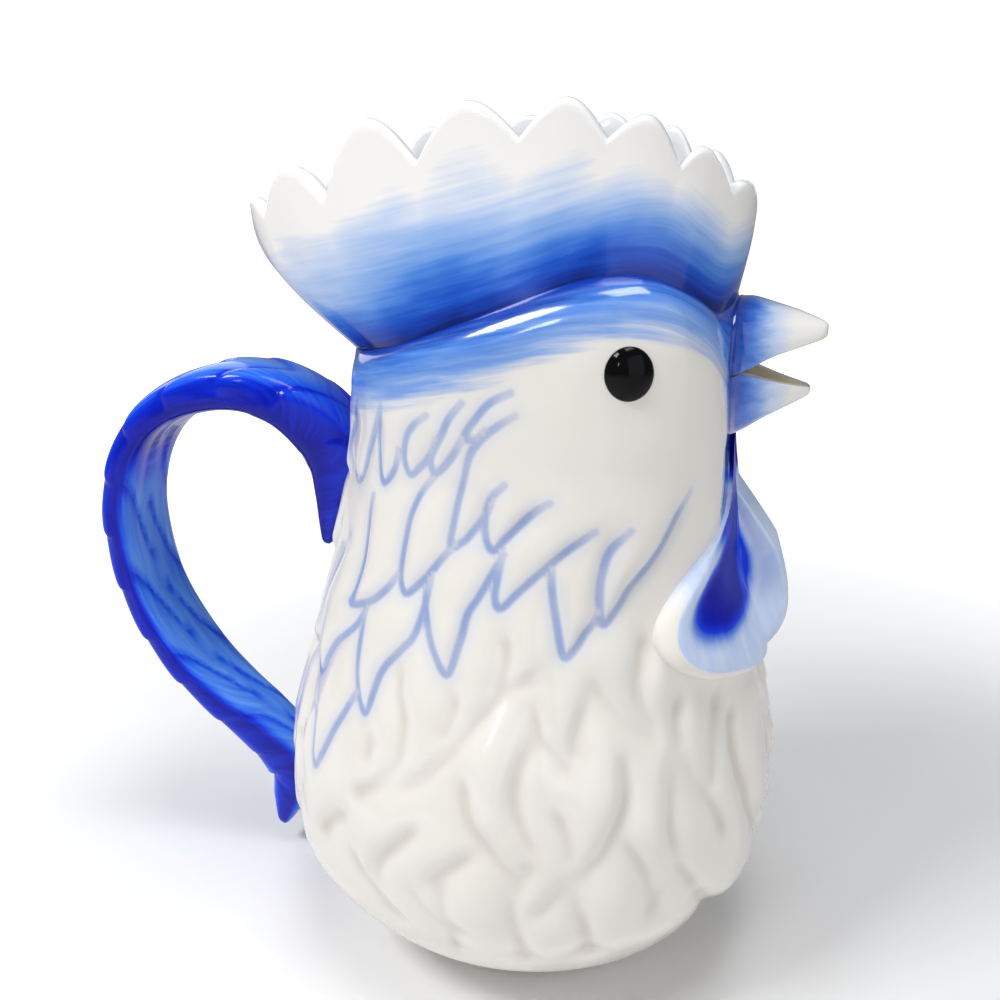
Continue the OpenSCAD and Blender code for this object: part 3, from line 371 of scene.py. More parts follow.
def relief(turn, z):
    """Height over the wall: drawn feathers on the flanks, the part's own at back and breast."""
    a = np.abs(turn)
    right = ring_pt(wall_r(-a, z), -a, z).reshape(-1, 3)
    creases = fold_depth(right, CREASES).reshape(a.shape)
    lines = fold_depth(right, BRUSH_LINES).reshape(a.shape) * (1 - NAPE_FLAT * rise(z, *NAPE_ZONE))
    level = lerp(BELLY_LEVEL, NECK_LEVEL, rise(z, *NECK_ZONE)) * (1 - rise(z, *TOP_ZONE))
    throat = (1 - rise(a, *THROAT_TURNS)) * rise(z, *THROAT_ZONE)
    belly = (level * (1 - THROAT_FLAT * throat) - CREASE_DEEP * creases) * rise(z, *FOOT_ZONE)
    flank = belly - LINE_DEEP * lines * (1 - creases)
    back = (a - lerp(*BACK_TURNS, rise(z, *BACK_ZONE))) / BACK_BLEND
    breast = (1 - rise(a, *BREAST_TURNS)) * (1 - rise(z, *BREAST_ZONE))
    drawn = lerp(flank, plume_relief(a, z), np.maximum(smooth(back), breast))
    cheek = cheek_relief(a, z)
    return np.where(cheek > 0, np.maximum(drawn, cheek - LINE_DEEP * lines), drawn)


def crease_h(turn):
    """Height of the crease between body and crown."""
    return CREASE_Z + CREASE_RISE * curve(CREASE, np.abs(turn))


def crease_r(turn):
    front = turned(turn)[0] > 0
    return oval_r(np.where(front, CREASE_FRONT, CREASE_BACK), CREASE_SIDE, turn,
                  np.where(front, CREASE_POWER, ROUND_POWER))


def ring_pt(r, turn, z):
    """Points at a radius, a turn and a height."""
    c, s = turned(turn)
    return np.stack(np.broadcast_arrays(r * c, r * s, z), -1)


def inward(points):
    """Level unit vectors from points towards the spine of the crown."""
    spine = np.clip(points[..., 0], -RIM_L / 2, RIM_L / 2)
    v = np.stack([points[..., 0] - spine, points[..., 1], np.zeros_like(spine)], -1)
    return -v / np.linalg.norm(v, axis=-1, keepdims=True)


def turns_of(columns):
    """Turns of a ring's columns, from 0 up to 180 and on from -180."""
    a = 360 * np.arange(columns) / columns
    return np.where(a > 180, a - 360, a)


# ---- photograph to wall
def camera_axes():
    """The camera's right, up and forward, as unit vectors."""
    tilt, pan = math.radians(CAMERA_TURN[0]), math.radians(CAMERA_TURN[2])
    right = np.array([math.cos(pan), math.sin(pan), 0])
    flat = math.sin(tilt)
    ahead = np.array([-math.sin(pan) * flat, math.cos(pan) * flat, -math.cos(tilt)])
    return right, np.cross(right, ahead), ahead


def on_wall(px, py):
    """Point of the wall that a pixel of the photograph shows, found by halving."""
    right, up, ahead = camera_axes()
    focal = PHOTO_SIDE * LENS / SENSOR
    ray = ahead + right * (px - PHOTO_SIDE / 2) / focal + up * (PHOTO_SIDE / 2 - py) / focal
    start = np.array(CAMERA_AT)
    far = -start[:2] @ ray[:2] / (ray[:2] @ ray[:2])
    near = 0.4 * far
    for _ in range(40):
        middle = (near + far) / 2
        p = start + middle * ray
        turn = math.degrees(math.atan2(p[1], p[0]))
        outside = math.hypot(p[0], p[1]) > float(wall_r(np.array(turn), np.array(p[2])))
        near, far = (middle, far) if outside else (near, middle)
    return start + far * ray


def route(line, step):
    """Points on the wall along a line of the photograph, and how far along each one is."""
    fine = np.array(finer([on_wall(*pixel) for pixel in np.reshape(line, (-1, 2))], 12))
    reach = np.concatenate([[0], np.cumsum(np.linalg.norm(np.diff(fine, axis=0), axis=1))])
    at = np.linspace(0, reach[-1], int(reach[-1] / step) + 1)
    return np.stack([np.interp(at, reach, fine[:, k]) for k in range(3)], -1), at


def brush_points():
    """Dense points along the brush lines on the right flank, with how strong the paint is."""
    points, ink = [], []
    for line in BRUSH_LINES:
        path, at = route(line, INK_STEP)
        points.append(path)
        ink.append(0.5 + 0.5 * smooth(np.minimum(at, at[-1] - at) / INK_FADE))
    return np.concatenate(points), np.concatenate(ink)


FOLDS = {}


def fold_paths(lines):
    """Points, directions to the upper feather and depths along lines, made once."""
    if id(lines) not in FOLDS:
        paths = []
        for line in lines:
            path, at = route(line, FOLD_STEP)
            out = path * [1, 1, 0]
            left = np.cross(out, np.gradient(path, axis=0))
            left /= np.linalg.norm(left, axis=1, keepdims=True)
            # Ends fade out upwards, and stay deep at a feather's tip
            low = path[:, 2].min() + TIP_FADE
            first, last = (END_FADE if path[k, 2] > low else TIP_FADE for k in (0, -1))
            depth = smooth(at / first + 0.1) * smooth((at[-1] - at) / last + 0.1)
            paths.append((path, left, depth))
        FOLDS[id(lines)] = paths
    return FOLDS[id(lines)]


def fold_depth(points, lines):
    """1 on a line, falling fast on the feather that lies over it and slowly on the other."""
    flat = np.ones(len(points))
    for path, left, depth in fold_paths(lines):
        low, high = path.min(0) - 3 * FAR_REACH, path.max(0) + 3 * FAR_REACH
        near = np.where(np.all((points > low) & (points < high), axis=1))[0]
        for chunk in np.array_split(near, len(near) // CHUNK + 1):
            gap = points[chunk, None] - path[None]
            far = np.linalg.norm(gap, axis=2)
            side = np.einsum("ijk,jk->ij", gap, left) / np.maximum(far, 1e-6)
            reach = lerp(FAR_REACH, NEAR_REACH, smooth((side + 1) / 2))
            if len(chunk):
                flat[chunk] *= 1 - (depth * np.exp(-far / reach)).max(1)
    return 1 - flat


def brush_distance(points):
    """Distance of points from the nearest brush line, and the paint's strength there."""
    line, ink = brush_points()
    mirrored = points * np.array([1, -1, 1])
    flank = np.where(points[:, 1:2] > 0, mirrored, points)
    distance = np.full(len(points), PAINT_REACH)
    strength = np.zeros(len(points))
    low, high = line[:, 2].min() - PAINT_REACH, line[:, 2].max() + PAINT_REACH
    near = np.where((flank[:, 2] > low) & (flank[:, 2] < high))[0]
    for chunk in np.array_split(near, 40):
        gap = np.linalg.norm(flank[chunk, None] - line[None], axis=2)
        best = gap.argmin(1)
        distance[chunk] = np.minimum(gap[np.arange(len(chunk)), best], PAINT_REACH)
        strength[chunk] = ink[best]
    return distance, strength


# ---- meshes
def sheet_faces(rows, columns, first=0):
    """Quads between rows of points, each row a closed ring."""
    j, i = np.meshgrid(np.arange(rows - 1), np.arange(columns), indexing="ij")
    k = (i + 1) % columns
    low, high = j * columns, (j + 1) * columns
    return first + np.stack([low + i, high + i, high + k, low + k], -1).reshape(-1, 4)


def volume(points, faces):
    """Six times the volume, below 0 where the normals point inwards."""
    total = 0.0
    for f in faces:
        p = points[f]
        total += p.mean(0) @ np.cross(p, np.roll(p, -1, axis=0)).sum(0)
    return total


def make_piece(name, points, faces, material, nodes, values, crisp):
    """Mesh piece in place, smooth, with its point values, riding on the one body."""
    points = np.asarray(points, float)
    faces = [list(map(int, f)) for f in faces]
    if volume(points, faces) < 0:
        faces = [f[::-1] for f in faces]
    mesh = bpy.data.meshes.new(name)
    mesh.from_pydata((points * MM).tolist(), [], faces)
    mesh.update()
    mesh.shade_smooth()
    mesh.set_sharp_from_angle(angle=math.radians(crisp))
    for key, data in values.items():
        data = np.asarray(data, np.float32)
        kind = "FLOAT_VECTOR" if data.ndim == 2 else "FLOAT"
        layer = mesh.attributes.new(key, kind, "POINT")
        layer.data.foreach_set("vector" if data.ndim == 2 else "value", data.ravel())
    piece = bpy.data.objects.new(name, mesh)
    bpy.context.scene.collection.objects.link(piece)
    mesh.materials.append(material)
    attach(piece, "root")
    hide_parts(*nodes)


# ---- materials
def rgb(code):
    """Linear colour from a hex code in sRGB."""
    parts = [int(code[k:k + 2], 16) / 255 for k in (1, 3, 5)]
    linear = [c / 12.92 if c <= 0.04045 else ((c + 0.055) / 1.055) ** 2.4 for c in parts]
    return (*linear, 1.0)


class Glaze:
    """A material under construction: nodes are added and joined by short calls."""

    def __init__(self, name, roughness, coat, gloss=0.5):
        self.material = bpy.data.materials.new(name)
        self.material.use_nodes = True
        self.tree = self.material.node_tree
        self.shader = self.tree.nodes["Principled BSDF"]
        for key, value in (("Roughness", roughness), ("Specular IOR Level", gloss), ("IOR", 1.5),
                           ("Coat Weight", coat), ("Coat Roughness", 0.03), ("Coat IOR", 1.5)):
            self.shader.inputs[key].default_value = value

    def add(self, kind, inputs=None, **settings):
        """A new node with its settings, and with values or links on its inputs."""
        node = self.tree.nodes.new(kind)
        for key, value in settings.items():
            setattr(node, key, value)
        for key, value in (inputs or {}).items():
            self.join(value, node.inputs[key])
        return node

    def join(self, value, socket):
        """Links an output to a socket, or sets a number, vector or hex colour on it."""
        if isinstance(value, bpy.types.NodeSocket):
            self.tree.links.new(value, socket)
        else:
            socket.default_value = rgb(value) if isinstance(value, str) else value

    def value(self, key, part="Fac"):
        """A value of the mesh's points, as a number or a vector."""
        return self.add("ShaderNodeAttribute", attribute_name=key).outputs[part]

    def math(self, operation, a, b, clamp=False):
        node = self.add("ShaderNodeMath", {0: a, 1: b}, operation=operation, use_clamp=clamp)
        return node.outputs[0]

    def uneven(self, value, noise, amount):
        """A value that a noise raises and lowers, by half the amount at most."""
        swing = self.math("MULTIPLY", self.math("SUBTRACT", noise, 0.5), amount)
        return self.math("ADD", value, swing)

    def span(self, value, low, high, to_low=0.0, to_high=1.0):
        """A value's range mapped smoothly to another."""
        inputs = {"Value": value, "From Min": low, "From Max": high,
                  "To Min": to_low, "To Max": to_high}
        return self.add("ShaderNodeMapRange", inputs, interpolation_type="SMOOTHSTEP").outputs[0]

    def mix(self, share, a, b):
        """Two colours mixed: 0, 6 and 7 are the inputs of the node's colour mode."""
        return self.add("ShaderNodeMix", {0: share, 6: a, 7: b}, data_type="RGBA").outputs[2]

    def ramp(self, value, *stops):
        node = self.add("ShaderNodeValToRGB", {"Fac": value})
        band = node.color_ramp
        while len(band.elements) < len(stops):
            band.elements.new(0.5)
        for element, (place, code) in zip(band.elements, stops):
            element.position = place
            element.color = rgb(code)
        return node.outputs["Color"]

    def noise(self, vector, scale, detail=3.0, rough=0.55):
        """Noise with one scale, or with a scale for each part of the vector."""
        if isinstance(scale, tuple):
            node = self.add("ShaderNodeVectorMath", {0: vector, 1: scale}, operation="MULTIPLY")
            vector, scale = node.outputs[0], 1.0
        inputs = {"Vector": vector, "Scale": scale, "Detail": detail, "Roughness": rough}
        return self.add("ShaderNodeTexNoise", inputs).outputs["Fac"]

    def place(self):
        return self.add("ShaderNodeTexCoord").outputs["Object"]

    def finish(self, colour, ripple=0.035):
        """Joins the colour, and gives the glaze its faint waves."""
        self.join(colour, self.shader.inputs["Base Color"])
        waves = self.noise(self.place(), 190.0, 2.0)
        bump = self.add("ShaderNodeBump", {"Strength": ripple, "Distance": 0.0012, "Height": waves})
        self.join(bump.outputs[0], self.shader.inputs["Normal"])
        self.join(bump.outputs[0], self.shader.inputs["Coat Normal"])
        return self.material


WHITE, SKY, MID = "#f4f2ee", "#86aae4", "#4480da"
COBALT, DEEP, INK = "#1c56c2", "#0d3aa4", "#08226e"


def body_glaze():
    """White glaze over white clay, with brushed cobalt at the crease, collar and feather edges."""
    g = Glaze("white_glaze_brushed_cobalt", 0.16, 0.5)
    clay = g.mix(g.noise(g.place(), 28.0), "#efece6", "#e9e4da")
    # Painted shade: a warm grey laid into the grooves between feathers, strongest where the relief
    # sinks furthest below its blurred self
    colour = g.mix(g.span(g.value("groove"), 0.0, 1.2, 0.0, 0.42), clay, "#b3a794")
    # Blue wash under the crown, laid on in strokes that run along the crease
    streaks = g.noise(g.value("brush", "Vector"), (0.035, 0.42, 1.0), 4.0, 0.6)
    wash = g.uneven(g.value("wash"), streaks, 0.75)
    wash = g.math("MULTIPLY", wash, g.span(g.value("wash"), 0.02, 0.16), clamp=True)
    for low, high, tone in ((0.02, 0.42, SKY), (0.3, 0.75, MID), (0.6, 1.0, DEEP)):
        colour = g.mix(g.span(wash, low, high), colour, tone)
    # Lines along the feathers' edges: a soft halo, then the line itself
    load = g.span(g.noise(g.place(), 70.0, 2.0), 0.35, 0.6, 0.8, 1.0)
    ink = g.math("MULTIPLY", g.value("line_ink"), load)
    for low, high, share, tone in ((0.4, 4.5, 0.34, "#b7cbec"), (0.5, 1.5, 0.68, "#6288cc")):
        stroke = g.math("MULTIPLY", g.span(g.value("line_gap"), low, high, share, 0.0), ink)
        colour = g.mix(stroke, colour, tone)
    return g.finish(g.mix(g.value("inner"), colour, "#e9e4d8"))


def crown_glaze():
    """Cobalt brushed upwards from the crease and thinning to white at the points."""
    g = Glaze("crown_glaze_brushed_cobalt", 0.18, 0.3, 0.3)
    brush = g.value("brush", "Vector")
    level = g.uneven(g.value("level"), g.noise(brush, (0.03, 0.5, 1.0), 5.0, 0.62), 0.26)
    level = g.uneven(level, g.noise(brush, (0.035, 0.07, 1.0), 2.0), 0.36)
    outer = g.ramp(level, (0.0, INK), (0.08, DEEP), (0.18, COBALT), (0.32, "#4f86d8"),
                   (0.48, "#92b4e6"), (0.64, "#c6d5ee"), (0.8, WHITE))
    return g.finish(g.mix(g.value("inner"), outer, "#eef0f2"))


def beak_glaze():
    """Thin blue glaze on the beak, deep at its root, white at the tip and cream inside."""
    g = Glaze("beak_glaze_blue_to_white", 0.14, 0.6)
    level = g.uneven(g.value("level"), g.noise(g.place(), (60.0, 260.0, 420.0)), 0.3)
    outer = g.ramp(level, (0.0, DEEP), (0.08, COBALT), (0.18, "#3a78de"), (0.3, "#86aeee"),
                   (0.42, "#c8daf6"), (0.62, WHITE))
    return g.finish(g.mix(g.value("inner"), outer, "#f3e9d2"))


def wattle_glaze():
    """Deep cobalt pooled in the wattle's hollow, thin blue and white over its rim."""
    g = Glaze("wattle_glaze_pooled_cobalt", 0.3, 0.04, 0.08)
    mottle = g.noise(g.value("brush", "Vector"), (0.3, 0.09, 1.0))
    level = g.uneven(g.value("level"), mottle, 0.2)
    return g.finish(g.ramp(level, (0.0, "#0512a0"), (0.12, "#0a22c2"), (0.3, "#1440e2"),
                           (0.48, "#6a92e6"), (0.64, "#b4cbf4"), (0.78, "#dbe6f8"),
                           (0.92, "#f0ece2")))


def eye_glaze():
    """Black glaze, poured thick."""
    g = Glaze("eye_glaze_black", 0.08, 0.15, 0.06)
    return g.finish(g.mix(g.noise(g.place(), 500.0, 2.0), "#050506", "#0d0d10"), ripple=0.01)


def handle_glaze():
    """Ultramarine glaze, thin and light on the inner run, pooled dark in the leaf cuts."""
    g = Glaze("handle_glaze_ultramarine", 0.16, 0.18, 0.15)
    streaks = g.noise(g.value("brush", "Vector"), (0.05, 0.4, 1.0), 4.0, 0.6)
    level = g.uneven(g.value("level"), streaks, 0.42)
    return g.finish(g.ramp(level, (0.0, "#020870"), (0.2, "#020ea4"), (0.42, "#0a34dc"),
                           (0.62, "#2c6cea"), (0.8, "#5c96f2"), (1.0, "#93bcf6")))


def bare_clay():
    """Fired clay with no glaze, wiped clean where the foot meets the kiln shelf."""
    g = Glaze("bare_fired_clay", 0.75, 0.0)
    return g.finish(g.mix(g.noise(g.place(), 900.0, 4.0), "#cdbfa6", "#e0d5c0"), ripple=0.3)


# ---- pieces
def softened(field, rounds):
    """A field on the body's grid, blurred between neighbours."""
    for _ in range(rounds):
        field = (2 * field + np.roll(field, 1, 1) + np.roll(field, -1, 1)) / 4
        field[1:-1] = (2 * field[1:-1] + field[2:] + field[:-2]) / 4
    return field


def build_body():
    """Outer and inner skin, the rows that the inner one has, the window's rows, and the paint."""
    turns = turns_of(BODY_COLUMNS)
    top = crease_h(turns) - SHOULDER_H
    z = lerp(FOOT_H, top[None], (np.arange(BODY_ROWS + 1) / BODY_ROWS)[:, None])
    a = np.broadcast_to(turns, z.shape)
    base, bulge = wall_r(a, z), softened(relief(a, z), RELIEF_BLUR)
    # The lines lie on the bare wall, so their distance is taken between it and the relief
    gap, ink = brush_distance(ring_pt(base + 0.4 * bulge, a, z).reshape(-1, 3))
    cut = LINE_CUT * np.exp(-(gap / LINE_HALF) ** 2) * ink
    side = ring_pt(base + bulge - cut.reshape(z.shape), a, z)
    # Painted shade for the grooves: how far the relief sinks below its blurred self
    groove = np.clip((softened(bulge, GROOVE_SHADE_BLUR) - bulge) / GROOVE_SHADE_DEPTH, 0, 1)
    q = np.radians(90 * np.arange(1, SHOULDER_ROWS + 1) / SHOULDER_ROWS)[:, None]
    ledge_r = lerp(crease_r(turns)[None], (base + bulge)[-1][None], np.cos(q))
    ledge = ring_pt(ledge_r, turns[None], top[None] + SHOULDER_H * np.sin(q))
    outer = np.concatenate([side, ledge])
    edge = outer[-1] + WALL * inward(outer[-1])
    window = [int(np.searchsorted(z[:, 0], MOUTH_Z - drop)) for drop in (WINDOW_LOW, WINDOW_TOP)]
    picked = set(range(FLOOR_ROW, BODY_ROWS + 1, INNER_STEP)) | set(range(window[0], window[1] + 1))
    picked = sorted(picked)
    inner = [ring_pt(wall_r(turns, z[j]) - WALL, turns, z[j]) for j in picked]
    return outer, np.stack(inner + [edge]), picked, window, gap, ink, groove.ravel()


def add_body(material):
    """The hollow body: two skins joined at the crease, a floor, and the spout's window."""
    outer, inner, picked, window, *paint = build_body()
    n = BODY_COLUMNS
    half = int(round(WINDOW_TURN / 360 * n))
    first = len(outer) * n
    middle = first + len(inner) * n
    points = np.concatenate([outer.reshape(-1, 3), inner.reshape(-1, 3),
                             [[0, 0, FOOT_H + FLOOR_T], [0, 0, FOOT_H]]])
    inner_window = [picked.index(row) for row in window]

    def skin(rows, start, low, high):
        """Faces of a skin, without those in the window."""
        for k, face in enumerate(sheet_faces(rows, n, start)):
            column = (k % n + n // 2) % n - n // 2
            if not (-half <= column < half and low <= k // n < high):
                yield face

    faces = list(skin(len(outer), 0, *window))
    faces += [face[::-1] for face in skin(len(inner), first, *inner_window)]
    top_o, top_i = first - n, middle - n
    for i in range(n):
        k = (i + 1) % n
        faces += [[top_o + i, top_i + i, top_i + k, top_o + k], [first + i, first + k, middle],
                  [middle + 1, k, i]]
    # The window's sill, head and two sides, through the wall
    for i in range(-half, half):
        a, b = i % n, (i + 1) % n
        for row, inner_row, turn_over in zip(window, inner_window, (-1, 1)):
            o, p = row * n, first + inner_row * n
            faces.append([o + a, p + a, p + b, o + b][::turn_over])
    for j, i in zip(range(*window), range(*inner_window)):
        o, p = j * n, first + i * n
        for k, turn_over in ((-half % n, 1), (half, -1)):
            faces.append([o + k, p + k, p + n + k, o + n + k][::turn_over])
    values = body_values(points, first, *paint)
    make_piece("body", points, faces, material, ["body_shell"], values, crisp=60)


def body_values(points, first, gap, ink, groove):
    """Paint on the body: wash under the crown and round the beak, and feather lines."""
    x, y, z = points.T
    turn = np.degrees(np.arctan2(y, x))
    a = np.abs(turn)
    ledge = np.hypot(x, y) - crease_r(turn)
    travel = np.maximum(crease_h(turn) - z, 0) + 0.7 * np.clip(ledge, 0, 8)
    wash = np.clip(1.12 - 1.12 * travel / np.interp(a, WASH_TURNS, WASH_REACH), 0, 1)
    ring = np.hypot(y / COLLAR_W, (z - MOUTH_Z) / COLLAR_H)
    collar = np.where(x > 30, 1 - smooth((ring - 0.98) / 0.3), 0)
    off = np.abs(a - STRIPE_TURN - STRIPE_LEAN * (NECK_Z - z)) - STRIPE_HALF
    throat = (1 - smooth(off / STRIPE_EDGE)) * rise(z, *STRIPE_ZONE) * (z < MOUTH_Z)
    wash = np.maximum.reduce([wash, 0.95 * collar, 0.85 * throat])
    inner = (np.arange(len(points)) >= first).astype(float)
    # pooled carries the painted shade in the grooves between feathers
    line_gap, line_ink, pooled = np.full(len(points), PAINT_REACH), 0 * inner, 0 * inner
    for whole, part in ((line_gap, gap), (line_ink, ink), (pooled, groove)):
        whole[:len(part)] = part
    brush = np.stack([np.radians(turn) * 50, travel + 0.12 * a, inner], -1)
    return {"wash": wash * (1 - inner), "line_gap": line_gap, "line_ink": line_ink, "inner": inner,
            "groove": pooled, "brush": brush}


def crown_rim(columns):
    """Turn, valley height and true height of the crown's rim at each column."""
    i = np.arange(columns)
    last = len(RIM_TURNS) - 1
    u = last * np.where(i <= columns // 2, i, columns - i) / (columns // 2)
    k = np.minimum(last - 1, np.floor(u)).astype(int)
    t = u - k
    turns, heights = np.array(RIM_TURNS, float), np.array(RIM_HEIGHTS)
    turn = lerp(turns[k], turns[k + 1], t)
    # Tips are round and valleys are sharp
    share = np.where(k % 2 == 0, np.sin(np.pi / 2 * t), 1 - np.cos(np.pi / 2 * t))
    height = lerp(heights[k], heights[k + 1], share)
    v = np.minimum(last - 2, 2 * np.floor(u / 2)).astype(int)
    valley = lerp(heights[v], heights[v + 2], (u - v) / 2)
    return turn, CROWN_H * valley, CROWN_H * height


def add_crown(material):
    """The scalloped collar: an outer wall, a rounded lip and an inner wall."""
    n = CROWN_COLUMNS
    turns = turns_of(n)
    root = ring_pt(crease_r(turns), turns, crease_h(turns))
    turn, valley, height = crown_rim(n)
    flank = np.where(np.arange(n) <= n // 2, 1, -1)
    c, s = turned(turn)
    rim_x, rim_y = RIM_L * c - RIM_BACK, flank * RIM_W * s * (1 + RIM_EGG * c)
    fall = LIP_T / 3

    def outside(share):
        z = lerp(root[:, 2], CREASE_Z + valley, share) + (height - valley) * share ** 3
        bend = math.sin(math.pi / 2 * share)
        return np.stack([lerp(root[:, 0], rim_x, bend), lerp(root[:, 1], rim_y, bend), z], -1)

    def inside(share):
        p = outside(share)
        return p + lerp(WALL, LIP_T, share) * inward(p)

    def lowered(p, share):
        """A row of points that sinks near the rim, to make room for the lip."""
        return p - [0, 0, fall * rise(share, 0.8, 1)]

    up, down = np.linspace(0, 1, CROWN_ROWS + 1), np.linspace(1, 0, CROWN_INNER_ROWS + 1)
    tip, back = outside(1.0), inside(1.0)
    lip = [lerp(tip, back, (1 - math.cos(q)) / 2) - [0, 0, fall * (1 - math.sin(q))]
           for q in np.pi * np.arange(1, LIP_ROWS) / LIP_ROWS]
    layers = [lowered(outside(k), k) for k in up] + lip + [lowered(inside(k), k) for k in down]
    points, rows = np.concatenate(layers), len(layers)
    faces = list(sheet_faces(rows, n))
    base = (rows - 1) * n
    faces += [[i, (i + 1) % n, base + (i + 1) % n, base + i] for i in range(n)]
    level = np.repeat(np.concatenate([up, np.ones(len(lip)), down]), n)
    inner = np.repeat(np.arange(rows) >= len(up), n).astype(float)
    # The blue reaches highest over the eye and is thinnest at the back
    a = np.abs(turns)
    drift = 0.12 * rise(a, 105, 155) - 0.04 * np.exp(-((a - 52) / 22) ** 2)
    level = level + np.tile(drift, rows) * np.sin(np.pi * np.clip(level, 0, 1) ** 0.7)
    brush = np.stack([np.tile(np.unwrap(np.radians(turns)) * 50, rows),
                      points[:, 2] - np.tile(root[:, 2], rows), inner], -1)
    values = {"level": level, "inner": inner, "brush": brush}
    make_piece("crown", points, faces, material, ["crown"], values, crisp=70)


def loft(sections):
    """Points and faces of rings along a line, closed by a fan at each end."""
    n = len(sections[0])
    ends = [np.mean(sections[k], 0)[None] for k in (0, -1)]
    faces = list(sheet_faces(len(sections), n))
    base, start = (len(sections) - 1) * n, len(sections) * n
    for i in range(n):
        k = (i + 1) % n
        faces += [[i, k, start], [base + k, base + i, start + 1]]
    return np.concatenate(sections + ends), faces


def add_upper_beak(material):
    """The solid upper half, with a low ridge along each side of its root."""
    a = 2 * np.pi * np.arange(BEAK_SIDES) / BEAK_SIDES
    c, d = np.cos(a), np.sin(a)
    beside = np.exp(-((np.degrees(np.arctan2(d, np.abs(c))) - RIDGE_TURN) / RIDGE_WIDE) ** 2)
    sections, levels = [], []
    for s in finer(UPPER, BEAK_STEPS):
        top, low = MOUTH_Z + s[2] * UPPER_H, MOUTH_Z + s[3] * UPPER_H
        z = np.where(d < 0, low + (low - MOUTH_Z) / 6 * d, lerp(low, top, np.abs(d) ** 0.8))
        ridge = RIDGE_RISE * math.exp(-((s[0] - RIDGE_AT) / RIDGE_RUN) ** 2) * beside
        y = s[1] * BEAK_W * signed_power(c, 0.8) + ridge * np.sign(c)
        sections.append(np.stack([np.full(BEAK_SIDES, FACE_R + s[0] * BEAK_L), y, z], -1))
        levels.append(np.full(BEAK_SIDES, s[0]))
    points, faces = loft(sections)
    level = np.clip(np.concatenate(levels + [[0, 1]]), 0, 1)
    inner = np.append(np.tile(d < -0.2, len(sections)), [0, 0]).astype(float)
    make_piece("upper_beak", points, faces, material, ["upper_beak"],
               {"level": level, "inner": inner}, crisp=70)


def add_lower_beak(material):
    """The lower half: a trough, open towards the body, that the liquid runs through."""
    half = BEAK_SIDES // 2
    n = 2 * half + 2
    a = np.pi * np.arange(half + 1) / half
    c, d, ones = np.cos(a), np.sin(a) ** 0.8, np.ones(half + 1)
    sections, levels = [], []
    for s in finer(LOWER, BEAK_STEPS):
        x, w = FACE_R + s[0] * BEAK_L, s[1] * BEAK_W
        low, top = MOUTH_Z + s[2] * LOWER_H, MOUTH_Z + s[3] * LOWER_H
        t, deep = min(TROUGH_T, w / 3), min(TROUGH_T, (top - low) / 2)
        outer = np.stack([x * ones, w * c, lerp(top, low, d)], -1)
        trough = np.stack([x * ones, (w - t) * c, lerp(top, low + deep, d)], -1)
        sections.append(np.concatenate([outer, trough[::-1]]))
        levels.append(np.full(n, s[0]))
    faces = list(sheet_faces(len(sections), n))
    base = (len(sections) - 1) * n
    for i in range(half):
        quad = [i, i + 1, n - 2 - i, n - 1 - i]
        faces += [quad, [base + k for k in quad[::-1]]]
    points, level = np.concatenate(sections), np.clip(np.concatenate(levels), 0, 1)
    inner = np.tile(np.arange(n) > half, len(sections)).astype(float)
    make_piece("lower_beak", points, faces, material, ["lower_beak"],
               {"level": level, "inner": inner}, crisp=70)


def wattle_seat(z):
    """Radius of the wall behind the wattle's middle."""
    return float(wall_r(np.array(WATTLE_SEAT), np.array(z)))


